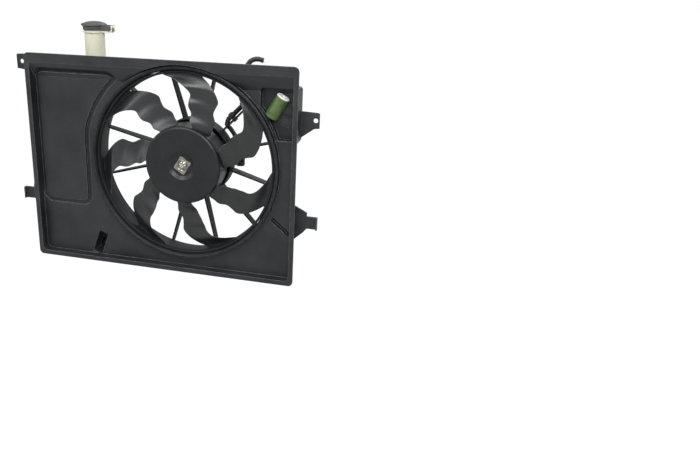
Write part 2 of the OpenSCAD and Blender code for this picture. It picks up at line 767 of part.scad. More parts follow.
module armature_core() {
    color("#7c7e80") place() on_axis(core_y) linear_extrude(core_len) difference() {
        circle(r = core_r);
        circle(r = shaft_r);
        for (i = [0 : slots - 1]) rotate(i * 360 / slots) {
            translate([core_r - 12, 0]) circle(r = 4.5);
            translate([core_r - 9, -1.4]) square([12, 2.8]);
        }
    }
}

module armature_windings() {
    color("#a8642c") place() {
        for (y = [core_y - winding_t - e, core_y + core_len + e]) on_axis(y) difference() {
            cylinder(r = core_r - 5, h = winding_t);
            translate([0, 0, -1]) cylinder(r = commutator_r + 3, h = winding_t + 2);
        }
        on_axis(core_y) for (i = [0 : slots - 1]) rotate(i * 360 / slots)
            translate([core_r - 12, 0, 0]) cylinder(r = 4.2, h = core_len);
    }
}

module commutator() {
    color("#b87343") place() on_axis(commutator_y) difference() {
        cylinder(r = commutator_r, h = commutator_len);
        translate([0, 0, -1]) cylinder(r = shaft_r, h = commutator_len + 2);
        for (i = [0 : slots - 1]) rotate(i * 360 / slots)
            translate([commutator_r - 1.5, -0.3, -1]) cube([3, 0.6, commutator_len + 2]);
    }
}

module motor_shaft() {
    color("#b8babc") place() on_axis(shaft_front)
        cylinder(r = shaft_r, h = motor_seat - 1.5 - shaft_front);
}

module bearing(y) {
    place() on_axis(y) tube(bearing_r - 0.01, shaft_r + shaft_gap, bearing_w);
}

module front_bearing() {
    color("#a48a58") bearing(front_bearing_y);
}

module rear_bearing() {
    color("#a48a58") bearing(rear_bearing_y);
}

module brush_plate() {
    holder_y = brush_y - holder_t;
    color("#2a2622") place() on_axis() difference() {
        union() {
            translate([0, 0, plate_y]) cylinder(r = can_in - 0.1, h = plate_t);
            translate([0, 0, rear_bearing_y]) cylinder(r = bearing_r + 2.5, h = bearing_w);
            for (s = [0, 180]) rotate(s)
                translate([commutator_r + 3, -brush_w / 2 - holder_t, holder_y])
                    cube([holder_r - commutator_r - 3, brush_w + 2 * holder_t, plate_y - holder_y + 1]);
        }
        translate([0, 0, rear_bearing_y - 1]) cylinder(r = bearing_r, h = bearing_w + 2);
        for (s = [0, 180]) rotate(s)
            translate([commutator_r, -brush_w / 2 - 0.2, brush_y - 0.2])
                cube([holder_r - holder_t - commutator_r, brush_w + 0.4, brush_h + 0.4]);
    }
}

module carbon_brushes() {
    color("#38383a") place() on_axis() for (s = [0, 180]) rotate(s)
        translate([commutator_r + seat_gap, -brush_w / 2, brush_y]) cube([brush_len, brush_w, brush_h]);
}

module brush_springs() {
    spring_in = commutator_r + seat_gap + brush_len + 0.2;
    color("#9c9ea0") place() on_axis() for (s = [0, 180]) rotate(s)
        translate([spring_in, 0, brush_y + brush_h / 2]) rotate([0, 90, 0])
            tube(spring_r, spring_r - 1, holder_r - holder_t - 0.2 - spring_in);
}

module motor_screws() {
    color("#8c8e90") place() on_axis() for (i = [0 : 2]) rotate(90 + i * 120)
        translate([screw_circle, 0, motor_seat - 6 - ear_t - 3.2]) {
            cylinder(r = 5, h = 3);
            cylinder(r = screw_r, h = 11.2);
        }
}

// Outline of the tank inset by i, as points along arcs and straight runs
function arc(cx, cz, r, a0, a1, n) =
    [for (k = [0 : n]) let (a = a0 + (a1 - a0) * k / n) [cx + r * cos(a), cz + r * sin(a)]];
function tank_outline(i) = concat(
    arc(tank_left + 18, tank_top - 18, 18 - i, 90, 180, 5),
    arc(tank_left + 34, tank_bottom + 34, 34 - i, 180, 262, 6),
    arc(tank_left + 52, tank_bottom + 26, 26 - i, 270, 355, 6),
    arc(fan_x, fan_z, tank_arc_r + i, 179, 138, 12),
    arc(tank_left + 148, tank_top - 22, 22 - i, -42, 90, 8));

// Closed form between two distances from the sealing face, with round long edges
module tank_loft(i, y0, y1, edge) {
    steps = 4;
    angles = [for (k = [0 : steps]) 90 * k / steps];
    rows = concat(
        [for (a = angles) [y0 + edge * (1 - cos(a)), i + edge * (1 - sin(a))]],
        [for (a = angles) [y1 - edge * (1 - sin(a)), i + edge * (1 - cos(a))]]);
    n = len(tank_outline(i));
    m = len(rows);
    points = concat(
        [for (row = rows, p = tank_outline(row[1])) [p[0], row[0], p[1]]],
        [[tank_left + 52, y0, tank_top - 70], [tank_left + 52, y1, tank_top - 70]]);
    faces = concat(
        [for (k = [0 : n - 1]) [(k + 1) % n, k, n * m]],
        [for (j = [0 : m - 2], k = [0 : n - 1], h = [0, 1])
            let (a = j * n + k, b = j * n + (k + 1) % n, c = b + n, d = a + n)
            h == 0 ? [a, c, d] : [a, b, c]],
        [for (k = [0 : n - 1]) [(m - 1) * n + k, (m - 1) * n + (k + 1) % n, n * m + 1]]);
    polyhedron(points, faces);
}

// Frame of the nipple: inside the lobe, with Z outwards between +X and +Y
module on_nipple() {
    translate([tank_left + 169 - tank_edge_r, tank_rear - tank_edge_r - 1, nipple_z])
        rotate([0, 90, 45]) children();
}

module coolant_tank() {
    color("#d5d4c4") place() difference() {
        union() {
            tank_loft(0, tank_front, tank_rear, tank_edge_r);
            translate([neck_x, neck_y, tank_top - 40]) cylinder(r = neck_r, h = neck_top - tank_top + 40);
            // Collar under the cap, which carries the hinge ears
            translate([neck_x, neck_y, hinge_z - 5]) cylinder(r = neck_r + 1.5, h = 2);
            for (s = [-1, 1]) hinge_ear(s);
            translate([hinge_x, neck_y - eye_w / 2 - ear_w, hinge_z])
                rotate([-90, 0, 0]) cylinder(r = hinge_pin_r, h = eye_w + 2 * ear_w);
            // Nipple of the overflow hose at the lobe's round rear edge
            on_nipple() {
                cylinder(r = nipple_r, h = nipple_len);
                cylinder(r = nipple_r + 2, h = nipple_len - nipple_free);
            }
            // Tongue that goes under the lip of the ring
            translate([fan_x, 0, fan_z]) rotate([0, -54.5, 0]) along_y(hook_y, hook_y + 3)
                translate([-5, lip_r - 1.5]) square([10, tank_arc_r + 4 - lip_r]);
            // Spigots in the sockets of the plateau
            for (p = spigot_places) translate([p[0], tank_front - spigot_len, p[1]])
                rotate([-90, 0, 0]) cylinder(r = spigot_r, h = spigot_len + tank_wall / 2);
        }
        tank_loft(tank_wall, tank_front + tank_wall, tank_rear - tank_wall, tank_edge_r - 2);
        translate([neck_x, neck_y, tank_top - 40 + tank_wall])
            cylinder(r = neck_r - tank_wall, h = neck_top);
        on_nipple() translate([0, 0, -2]) cylinder(r = nipple_r - 1.5, h = nipple_len + 3);
    }
}

module hinge_ear(s) {
    y = neck_y + s * (eye_w / 2 + ear_w / 2) - ear_w / 2;
    along_y(y, y + ear_w) {
            translate([neck_x + neck_r - 2, hinge_z - 5]) square([cap_hinge_out - neck_r + 2, 3]);
            plate(hinge_x - 5.5, hinge_z - 6, hinge_x + 6, hinge_z + 9, 5);
    }
}

module tank_cap() {
    color("#4c5052") place() difference() {
        union() {
            translate([neck_x, neck_y, hinge_z]) rotate_extrude($fn = 96) polygon([
                [neck_r + 0.5, -1.5], [neck_r + 2.3, -1.5], [cap_r - 1, 4], [cap_r, 7],
                [cap_r - 1.5, 8.5], [cap_r * 0.62, 12.6], [cap_r * 0.3, 14.4], [0, 15],
                [0, 3 + seal_t + e], [neck_r + 0.5, 3 + seal_t + e]]);
            // Arm and eye of the hinge
            along_y(neck_y - eye_w / 2 + 0.3, neck_y + eye_w / 2 - 0.3) {
                translate([neck_x + neck_r + 2, hinge_z + 1]) square([cap_hinge_out - neck_r - 3, 3]);
                translate([hinge_x, hinge_z]) circle(r = eye_r);
            }
        }
        translate([hinge_x, neck_y - eye_w, hinge_z]) rotate([-90, 0, 0])
            cylinder(r = hinge_pin_r + pin_gap, h = 2 * eye_w);
    }
}

module cap_seal() {
    color("#202020") place() translate([neck_x, neck_y, neck_top + e])
        tube(neck_r + 0.3, neck_r - 5, seal_t - e);
}

// Frame of the resistor, with Z along its length
module on_resistor(along = 0) {
    translate([resistor_x, resistor_y, resistor_z]) rotate([0, 90 - resistor_tilt, 0])
        translate([0, 0, along]) children();
}

module resistor_body() {
    color("#5d7d45") place() on_resistor(-resistor_len / 2 + 3)
        cylinder(r = resistor_r, h = resistor_len - 6);
}

module resistor_ends() {
    color("#d8d8d0") place() for (s = [-1, 1])
        on_resistor(s > 0 ? resistor_len / 2 - 3 : -resistor_len / 2)
            cylinder(r = resistor_r - 0.6, h = 3);
}

module resistor_bracket() {
    color("#8a8c8e") place() difference() {
        union() {
            along_y(pocket_depth - wall - sheet_t, pocket_depth - wall - e)
                plate(rivet_x - 20, rivet_z[1] - 9, rivet_x + 9, rivet_z[0] + 9, 3);
            // Strap that carries the resistor
            on_resistor(-5) translate([-3, resistor_r + e, 0])
                cube([6, pocket_depth - wall - sheet_t - resistor_y - resistor_r + 0.2, 10]);
        }
        for (p = rivet_places()) translate([p[0], 0, p[1]])
            rotate([-90, 0, 0]) cylinder(r = rivet_r, h = 60);
    }
}

module resistor_rivets() {
    seat = pocket_depth - wall - sheet_t;
    color("#a8aaac") place() for (p = rivet_places()) translate([p[0], 0, p[1]]) rotate([-90, 0, 0]) {
        translate([0, 0, seat - rivet_head_t]) cylinder(r = 4, h = rivet_head_t);
        translate([0, 0, seat - 1]) cylinder(r = rivet_r - 0.02, h = wall + sheet_t + 2);
        translate([0, 0, pocket_depth + e]) cylinder(r = 3.5, h = rivet_head_t);
    }
}

// Frame of the fixed connector: X away from the plug, Y off the pocket wall
module on_block() {
    translate([block_x, block_front, block_z]) rotate([0, block_tilt, 0]) children();
}

module connector_block() {
    color("#3e4041") place() on_block() difference() {
        union() {
            along_y(e, block_h) difference() {
                translate([-connector_w / 2, -block_len / 2]) square([connector_w, block_len]);
                // Chamfers at the far corners
                for (z = [-1, 1]) translate([connector_w / 2, z * block_len / 2]) rotate(45)
                    square(5, center = true);
            }
            // Foot flange on the pocket wall
            along_y(e, 2.5) translate([-connector_w / 2 - 3, -block_len / 2 - 3])
                square([connector_w + 6, block_len + 6]);
            // Shell that the plug's nose goes into
            along_x(-connector_w / 2 - 8, -connector_w / 2 + 1)
                translate([1, plug_off - 9]) square([block_h - 1, 18]);
        }
        along_x(-connector_w / 2 - 9, -connector_w / 2 - 1)
            translate([plug_y - block_front - 5.3, plug_off - 7.3]) square([10.6, 14.6]);
        // Sink marks of the potting window
        along_y(block_h - 1, block_h + 1) translate([-4, -10]) square([12, 14]);
    }
}

module harness_plug() {
    x1 = -connector_w / 2 - 8 - seat_gap;
    color("#2c2e30") place() on_block() difference() {
        union() {
            // Nose, collar, body and the strain relief
            along_x(x1 - 1, x1 + 6) translate([plug_y - block_front - 5, plug_off - 7]) square([10, 14]);
            translate([x1 - 4, plug_y - block_front, plug_off]) rotate([0, 90, 0])
                cylinder(r = plug_r + 1, h = 4);
            translate([x1 - 15, plug_y - block_front, plug_off]) rotate([0, 90, 0])
                cylinder(r = plug_r, h = 12);
            translate([x1 - plug_len, plug_y - block_front, plug_off]) rotate([0, 90, 0])
                cylinder(r = plug_r - 2.5, h = plug_len - 14);
        }
        // Bore of the wires
        translate([x1 - plug_len - 1, plug_y - block_front, plug_off]) rotate([0, 90, 0])
            cylinder(r = wire_r + 0.1, h = 10);
    }
}

module plug_lock() {
    x1 = -connector_w / 2 - 8 - seat_gap;
    y1 = plug_y - block_front + plug_r + 1.2;
    color("#3a3c3e") place() on_block() difference() {
        union() {
            along_x(x1 - 15, x1 + 10) translate([y1, plug_off - 6]) square([2.2, 12]);
            for (z = [-1, 1]) along_x(x1 - 15, x1 - 4.3)
                translate([plug_y - block_front + 2, plug_off + z * (plug_r + 0.7) - 0.6])
                    square([plug_r + 1.4, 1.2]);
            along_x(x1 - 15, x1 - 4) translate([y1, plug_off - plug_r - 1.3])
                square([2.2, 2 * plug_r + 2.6]);
        }
        // Thumb slot
        along_y(y1 - 1, y1 + 4) translate([x1 - 10, plug_off - 2]) square([4, 4]);
    }
}

// Tube along a list of points, with rings of sides points
function unit(v) = v / norm(v);
module swept_tube(points, r, sides) {
    n = len(points);
    ring_at = [for (i = [0 : n - 1])
        let (t = unit(points[min(i + 1, n - 1)] - points[max(i - 1, 0)]),
            u = unit(cross(t, [0.31, 0.83, 0.46])), v = cross(t, u))
        [for (k = [0 : sides - 1]) points[i] + r * (cos(k * 360 / sides) * u + sin(k * 360 / sides) * v)]];
    polyhedron([for (ring = ring_at, p = ring) p], concat(
        [[for (k = [0 : sides - 1]) k]],
        [for (i = [0 : n - 2], k = [0 : sides - 1], h = [0, 1])
            let (a = i * sides + k, b = i * sides + (k + 1) % sides, c = b + sides, d = a + sides)
            h == 0 ? [a, d, c] : [a, c, b]],
        [[for (k = [sides - 1 : -1 : 0]) (n - 1) * sides + k]]));
}

module conduit() {
    color("#3c3e40") place() swept_tube(conduit_route, conduit_d / 2, 10);
}

module plug_wires() {
    color("#e8e8e6") place() swept_tube(wire_route, 2, 8);
}

module motor_lead_boot() {
    color("#333537") place() difference() {
        union() {
            translate([fan_x + lane_r, lane_y - 4, boot_z0]) {
                cylinder(r = boot_r, h = boot_z1 - boot_z0);
                for (z = [3, 7, 11]) translate([0, 0, z]) cylinder(r = boot_r + 0.8, h = 1.6);
            }
            translate([fan_x + carrier_r - 4, skirt_front + 5.2, fan_z - 5.8])
                cube([lane_r - carrier_r + 4, 9.6, 11.6]);
            translate([fan_x + carrier_r + seat_gap, skirt_front + 3, fan_z - 8])
                cube([2, 14, 14]);
        }
        translate([fan_x + lane_r, lane_y - 4, boot_z1 - 6]) cylinder(r = conduit_r + 0.05, h = 20);
    }
}

module cable_clips() {
    color("#242628") place() on_axis() rotate([0, 0, clip_spoke - 90]) for (k = [0, 1]) {
        r = clip_at[k];
        y = lane_y - (k == 0 ? 3 : 7);
        top = carrier_rear - 4 - (r - clip_w / 2 - carrier_r - 20) * 0.105;
        difference() {
            union() {
                translate([r - clip_w / 2, -lane_off, y]) rotate([0, 90, 0])
                    cylinder(r = conduit_r + 0.1 + clip_wall, h = clip_w);
                // Jaw over the rear edge of the spoke
                translate([r - clip_w / 2, -spoke_t / 2 - seat_gap - clip_wall, top - 8])
                    cube([clip_w, spoke_t + 2 * seat_gap + 2 * clip_wall, 8 + seat_gap + clip_wall]);
            }
            translate([r - clip_w / 2 - 1, -lane_off, y]) rotate([0, 90, 0])
                cylinder(r = conduit_r + 0.1, h = clip_w + 2);
            translate([r - clip_w / 2 - 1, -spoke_t / 2 - seat_gap, top - 9])
                cube([clip_w + 2, spoke_t + 2 * seat_gap, 9 + seat_gap]);
        }
    }
}

// Twin clip on the lip at the bottom of the ring
module ring_clip() {
    color("#2e3032") place() translate([fan_x, ring_rear - lip_h, fan_z - lip_r - seat_gap]) {
        translate([-16, 0, -3]) cube([32, 12, 3]);
        translate([-14, lip_h + seat_gap, -3]) cube([28, 2.5, 7]);
        for (x = [-9, 9]) difference() {
            translate([x, 12, -7]) cylinder(r = 7, h = 7);
            translate([x, 12, -8]) cylinder(r = 4.5, h = 5);
            translate([x - 2.5, 14, -8]) cube([5, 10, 5]);
        }
    }
}

shroud_panel();
tank_tray();
resistor_pocket();
hose_tower();
side_brackets();
venturi_ring();
motor_carrier();
fan_hub();
fan_blades();
fan_band();
fan_insert();
fan_clip();
motor_can();
field_magnets();
armature_core();
armature_windings();
commutator();
motor_shaft();
front_bearing();
rear_bearing();
brush_plate();
carbon_brushes();
brush_springs();
motor_screws();
coolant_tank();
tank_cap();
cap_seal();
resistor_body();
resistor_ends();
resistor_bracket();
resistor_rivets();
connector_block();
harness_plug();
plug_lock();
plug_wires();
conduit();
motor_lead_boot();
cable_clips();
ring_clip();
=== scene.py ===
"""Looks of a compact car's radiator cooling fan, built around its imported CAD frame.

Design sizes are in millimetres, with X across the radiator, Y from the sealing face to the
engine and Z up, as in the part's source. metres() moves them into the frame.
"""

import bmesh
import bpy
import numpy as np
from mathutils import Matrix


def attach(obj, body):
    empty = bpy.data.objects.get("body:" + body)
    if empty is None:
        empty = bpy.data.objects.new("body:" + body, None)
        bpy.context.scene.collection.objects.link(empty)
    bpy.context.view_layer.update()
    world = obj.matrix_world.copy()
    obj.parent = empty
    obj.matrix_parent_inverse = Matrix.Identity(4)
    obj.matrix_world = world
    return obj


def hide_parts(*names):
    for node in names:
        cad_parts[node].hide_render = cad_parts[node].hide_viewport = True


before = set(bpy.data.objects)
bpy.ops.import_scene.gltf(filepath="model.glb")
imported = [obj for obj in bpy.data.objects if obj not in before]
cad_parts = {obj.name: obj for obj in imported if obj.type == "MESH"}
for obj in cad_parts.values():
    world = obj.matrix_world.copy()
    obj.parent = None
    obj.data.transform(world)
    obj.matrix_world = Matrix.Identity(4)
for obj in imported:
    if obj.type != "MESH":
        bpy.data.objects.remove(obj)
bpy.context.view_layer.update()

# Main sizes, as in the part's source
HALF_DEPTH = 47.0
FAN_X, FAN_Z = 47.0, 214.0
PANEL_W = 535.0
LEFT_X = -PANEL_W / 2
HUB_R, HUB_Y, HUB_DEPTH, HUB_WALL = 75.0, 5.0, 48.0, 3.0
BAND_R, BAND_T, BAND_Y, BAND_W = 174.5, 2.5, 12.0, 24.0
BLADE_COUNT, BLADE_T, BLADE_FRONT, BLADE_RISE = 7, 3.0, 14.0, 15.0
CARRIER_R, CARRIER_REAR = 79.0, 94.0
TANK_FRONT, TANK_REAR, TANK_WALL, TANK_EDGE = 24.3, 68.3, 2.2, 9.0
TANK_LEFT, TANK_TOP, TANK_BOTTOM, TANK_ARC = LEFT_X + 16, 398.5, 104.0, 213.0
NECK_X, NECK_Y, NECK_R, NECK_TOP = LEFT_X + 118, TANK_REAR - 6, 19.0, 456.0
HINGE_X, HINGE_Z = NECK_X + 35, NECK_TOP - 3


# ---------------------------------------------------------------- shapes

def metres(points):
    """Design millimetres to the frame's metres: the middle of the depth is at Y = 0."""
    return (np.asarray(points, float) - (0.0, HALF_DEPTH, 0.0)) * 0.001


def on_fan(r, angle, y):
    """Points at radius r and an angle in degrees clockwise from up, round the fan axis."""
    a = np.radians(angle)
    r, a, y = np.broadcast_arrays(r, a, y)
    return np.stack([FAN_X + r * np.sin(a), y, FAN_Z + r * np.cos(a)], axis=-1)


def rounded(corners, steps=5):
    """Closed profile through (a, b, radius) corners: each corner is a parabola between the
    two points that lie one tangent length away from it."""
    c = np.array([k[:2] for k in corners], float)
    out = []
    for i, (_, _, r) in enumerate(corners):
        u, v = c[i - 1] - c[i], c[(i + 1) % len(c)] - c[i]
        lu, lv = np.hypot(*u), np.hypot(*v)
        u, v = u / lu, v / lv
        half = np.arccos(np.clip(u @ v, -0.9999, 0.9999)) / 2
        t = min(r / np.tan(half), 0.48 * lu, 0.48 * lv)
        s = np.linspace(0, 1, steps + 1 if t > 1e-6 else 1)[:, None]
        out.append((1 - s) ** 2 * (c[i] + u * t) + 2 * s * (1 - s) * c[i] + s * s * (c[i] + v * t))
    return np.vstack(out)


def arc(cx, cz, r, a0, a1, n):
    """n + 1 points on a circle round (cx, cz), from angle a0 to a1 in degrees."""
    a = np.radians(np.linspace(a0, a1, n + 1))
    return np.stack([cx + r * np.cos(a), cz + r * np.sin(a)], axis=-1)


def grid_faces(n, m, along, around):
    """Quads of an n by m grid of points, closed along or around where asked."""
    i, j = np.meshgrid(np.arange(n if along else n - 1), np.arange(m if around else m - 1),
                       indexing="ij")
    i, j = i.ravel(), j.ravel()
    i1, j1 = (i + 1) % n, (j + 1) % m
    return np.stack([i * m + j, i1 * m + j, i1 * m + j1, i * m + j1], axis=-1)


def surface(name, sheets, caps=True, smooth=35.0):
    """Mesh object of one or more point grids, each (points, along, around). An open end of a
    grid that is closed around gets a flat cap. Normals are turned outwards."""
    verts, faces, base = [], [], 0
    for points, along, around in sheets:
        n, m = points.shape[:2]
        verts.append(metres(points).reshape(-1, 3))
        faces += (grid_faces(n, m, along, around) + base).tolist()
        if caps and around and not along:
            faces.append((np.arange(m)[::-1] + base).tolist())
            faces.append((np.arange(m) + base + (n - 1) * m).tolist())
        base += n * m
    mesh = bpy.data.meshes.new(name)
    mesh.from_pydata(np.vstack(verts).tolist(), [], faces)
    return close_up(name, mesh, smooth)


def close_up(name, mesh, smooth=35.0):
    """Merges doubles, turns the normals outwards, smooths by angle and links the object."""
    bm = bmesh.new()
    bm.from_mesh(mesh)
    bmesh.ops.remove_doubles(bm, verts=bm.verts, dist=1e-6)
    bmesh.ops.recalc_face_normals(bm, faces=bm.faces)
    bm.to_mesh(mesh)
    bm.free()
    mesh.shade_smooth()
    if smooth < 180:
        mesh.set_sharp_from_angle(angle=np.radians(smooth))
    obj = bpy.data.objects.new(name, mesh)
    bpy.context.scene.collection.objects.link(obj)
    return obj


def apply_modifiers(obj):
    """Puts the result of the piece's modifiers into its mesh."""
    graph = bpy.context.evaluated_depsgraph_get()
    graph.update()
    mesh = bpy.data.meshes.new_from_object(obj.evaluated_get(graph))
    obj.modifiers.clear()
    obj.data = mesh
    return obj


def boolean(obj, other, kind):
    """Joins or cuts obj with another closed piece, which is then deleted."""
    mod = obj.modifiers.new("cut", "BOOLEAN")
    mod.operation, mod.object, mod.solver = kind, other, "EXACT"
    apply_modifiers(obj)
    bpy.data.objects.remove(other)
    return obj


def spun(name, profile, steps=192, smooth=35.0):
    """Closed (radius, y) profile carried round the fan axis."""
    angle = np.arange(steps)[:, None] * 360 / steps
    return surface(name, [(on_fan(profile[None, :, 0], angle, profile[None, :, 1]), True, True)],
                   smooth=smooth)


def turned(profile, centre, axis, steps=64):
    """Grid of a (radius, height) profile turned round an axis through a centre point."""
    axis = np.asarray(axis, float) / np.linalg.norm(axis)
    u = np.cross(axis, (0.31, 0.83, 0.46))
    u /= np.linalg.norm(u)
    v = np.cross(axis, u)
    a = np.radians(np.arange(steps) * 360 / steps)[:, None, None]
    r, h = profile[None, :, 0, None], profile[None, :, 1, None]
    return np.asarray(centre, float) + h * axis + r * (np.cos(a) * u + np.sin(a) * v)


def smooth_path(points, step):
    """Catmull-Rom curve through the points, taken again at even steps of its length."""
    p = np.asarray(points, float)
    p = np.vstack([2 * p[0] - p[1], p, 2 * p[-1] - p[-2]])
    t = np.linspace(0, 1, 40, endpoint=False)[None, :, None]
    p0, p1, p2, p3 = (p[i:len(p) - 3 + i, None, :] for i in range(4))
    c = p1 + 0.5 * t * (p2 - p0 + t * (2 * p0 - 5 * p1 + 4 * p2 - p3
                                       + t * (3 * (p1 - p2) + p3 - p0)))
    c = np.vstack([c.reshape(-1, 3), p[-2]])
    run = np.concatenate([[0], np.cumsum(np.linalg.norm(np.diff(c, axis=0), axis=1))])
    even = np.linspace(0, run[-1], int(round(run[-1] / step)) + 1)
    return np.stack([np.interp(even, run, c[:, k]) for k in range(3)], axis=-1), even


def path_frames(path):
    """Two unit vectors across a path at each of its points, turned as little as possible."""
    t = np.gradient(path, axis=0)
    t /= np.linalg.norm(t, axis=1)[:, None]
    u = np.empty_like(t)
    first = np.cross(t[0], (0.31, 0.83, 0.46))
    u[0] = first / np.linalg.norm(first)
    for i in range(1, len(t)):
        w = u[i - 1] - t[i] * (u[i - 1] @ t[i])
        u[i] = w / np.linalg.norm(w)
    return u, np.cross(t, u)


def tube(path, radius, sides):
    """Rings of points round a path, at a radius given for each of its points."""
    u, v = path_frames(path)
    a = np.radians(np.arange(sides) * 360 / sides)
    radius = np.broadcast_to(radius, len(path))[:, None, None]
    return path[:, None] + radius * (np.cos(a)[None, :, None] * u[:, None]
                                     + np.sin(a)[None, :, None] * v[:, None])


# ---------------------------------------------------------------- finishes

def linear(text):
    """sRGB hex value to linear RGBA."""
    c = np.array([int(text[i:i + 2], 16) for i in (1, 3, 5)]) / 255
    c = np.where(c <= 0.04045, c / 12.92, ((c + 0.055) / 1.055) ** 2.4)
    return (*c.tolist(), 1.0)


def add(tree, kind, inputs=None, **settings):
    """Adds a node with its settings. An input is a plain value or another node's output."""
    made = tree.nodes.new(kind)
    for key, value in settings.items():
        setattr(made, key, value)
    for key, value in (inputs or {}).items():
        if isinstance(value, bpy.types.NodeSocket):
            tree.links.new(value, made.inputs[key])
        else:
            made.inputs[key].default_value = value
    return made


def blank(name):
    """New material with an empty tree, its Principled shader and its object coordinates."""
    mat = bpy.data.materials.new(name)
    mat.use_nodes = True
    tree = mat.node_tree
    tree.nodes.clear()
    shader = add(tree, "ShaderNodeBsdfPrincipled")
    out = add(tree, "ShaderNodeOutputMaterial")
    tree.links.new(shader.outputs["BSDF"], out.inputs["Surface"])
    place = add(tree, "ShaderNodeTexCoord").outputs["Object"]
    return mat, tree, shader, place


def noise(tree, place, size_mm, detail=3.0, stretch=(1, 1, 1), roughness=0.55):
    """Cloud pattern whose spots are size_mm across, stretched along the axes."""
    spot = add(tree, "ShaderNodeMapping", {"Vector": place, "Scale": stretch}).outputs[0]
    return add(tree, "ShaderNodeTexNoise", {"Vector": spot, "Scale": 1000 / size_mm,
               "Detail": detail, "Roughness": roughness}).outputs["Fac"]


def between(tree, value, low, high, to_low=0.0, to_high=1.0):
    """Value taken from the range low to high into the range to_low to to_high, and clamped."""
    return add(tree, "ShaderNodeMapRange", {"Value": value, "From Min": low, "From Max": high,
               "To Min": to_low, "To Max": to_high}).outputs[0]


def blend(tree, fac, a, b):
    """Colour a where fac is 0 and b where it is 1."""
    a, b = (linear(c) if isinstance(c, str) else c for c in (a, b))
    return add(tree, "ShaderNodeMix", {0: fac, 6: a, 7: b}, data_type="RGBA").outputs[2]


def finish(name, dark, light, roughness, metallic=0.0, ior=1.5, cloud=45.0, grain=1.6,
           height=0.03, edge=0.0, worn=None, scuff=0.0, speck=None, dust_and_painted_light=None, **sockets):
    """One finish: two close colours in clouds, a fine grain in the surface, roughness that changes
    with the clouds, edges rounded by edge millimetres, and paler where worn. The faces towards the
    engine can get a paler colour in patches of its own size: partly dust, partly painted light on
    that side."""
    mat, tree, shader, place = blank(name)
    clouds = noise(tree, place, cloud, 4.0)
    colour = blend(tree, between(tree, clouds, 0.35, 0.65), dark, light)
    fine = noise(tree, place, grain, 2.0)
    rough = between(tree, clouds, 0.3, 0.7, roughness - 0.05, roughness + 0.06)
    bump = {"Height": fine, "Distance": height * 0.001, "Strength": 1.0}
    if edge:
        soft = add(tree, "ShaderNodeBevel", {"Radius": edge * 0.001}, samples=6).outputs[0]
        bump["Normal"] = soft
        if worn:
            plain = add(tree, "ShaderNodeNewGeometry").outputs["Normal"]
            turn = add(tree, "ShaderNodeVectorMath", {0: soft, 1: plain},
                       operation="DOT_PRODUCT").outputs["Value"]
            patchy = noise(tree, place, 9.0, 4.0)
            rub = add(tree, "ShaderNodeMath", {0: between(tree, turn, 0.995, 0.9),
                      1: between(tree, patchy, 0.35, 0.65, 0.25, 1.0)}, operation="MULTIPLY")
            colour = blend(tree, rub.outputs[0], colour, worn)
    if scuff:
        lines = noise(tree, place, 3.0, 3.0, (0.12, 1, 1.6))
        rough_more = between(tree, lines, 0.6, 0.75, 0.0, scuff)
        rough = add(tree, "ShaderNodeMath", {0: rough, 1: rough_more}, operation="ADD").outputs[0]
    if speck:
        dots = noise(tree, place, speck[1], 2.0)
        colour = blend(tree, between(tree, dots, 0.62, 0.72, 0.0, speck[2]), colour, speck[0])
    if dust_and_painted_light:
        # Faces towards the engine are paler in patches: partly dust, partly painted light on that
        # side
        faces = add(tree, "ShaderNodeTexCoord").outputs["Normal"]
        rear = add(tree, "ShaderNodeSeparateXYZ", {0: faces}).outputs["Y"]
        dust_and_light_film = add(tree, "ShaderNodeMath", {0: between(tree, rear, 0.3, 0.9),
                   1: between(tree, noise(tree, place, dust_and_painted_light[1], 4.0), 0.3, 0.6, 0.55, 1.0)},
                   operation="MULTIPLY").outputs[0]
        colour = blend(tree, dust_and_light_film, colour, dust_and_painted_light[0])
    tree.links.new(colour, shader.inputs["Base Color"])
    tree.links.new(rough, shader.inputs["Roughness"])
    tree.links.new(add(tree, "ShaderNodeBump", bump).outputs[0], shader.inputs["Normal"])
    shader.inputs["Metallic"].default_value = metallic
    if not metallic:
        shader.inputs["IOR"].default_value = ior
    for key, value in sockets.items():
        shader.inputs[key.replace("_", " ")].default_value = value
    return mat


# Talc-filled polypropylene of the shroud, moulded black: satin, with pale rubbed edges
SHROUD = finish("polypropylene_moulded_charcoal", "#191b1d", "#252729", 0.42, ior=1.49, cloud=60,
                edge=1.3, worn="#77797a", scuff=0.10, speck=("#303232", 4.0, 0.5),
                Specular_IOR_Level=0.42)
# The same plastic behind, coloured darker than the shroud as painted shade of its front, and paler
# in patches on faces towards the engine, partly dust and partly painted light
CARRIER_DUST_PAINTED_LIGHT_AND_SHADE = finish("polypropylene_moulded_dust_painted_light_and_shade", "#101112", "#1a1b1b", 0.55, ior=1.49, cloud=35,
                 edge=0.9, worn="#6b6a66", scuff=0.08, speck=("#363634", 3.5, 0.6),
                 dust_and_painted_light=("#45443f", 30.0), Specular_IOR_Level=0.2)
# The same plastic on the ring and the band, coloured darker than the shroud as painted shade in
# the ring's bore, and duller
RING_PAINTED_SHADE = finish("polypropylene_moulded_ring_painted_shade", "#131516", "#1c1e1f", 0.5, ior=1.49, cloud=45,
              edge=1.1, worn="#6c6e70", scuff=0.08, speck=("#2a2c2c", 4.0, 0.5),
              Specular_IOR_Level=0.2)
# Glass-filled nylon of the fan: smoother, so the blades catch long soft lights
FAN = finish("nylon_glass_filled_moulded", "#0f1113", "#16181a", 0.38, ior=1.53, cloud=50,
             grain=1.2, height=0.02, edge=0.8, worn="#7a7b7a", scuff=0.12,
             speck=("#292a2a", 5.0, 0.4), Specular_IOR_Level=0.58)
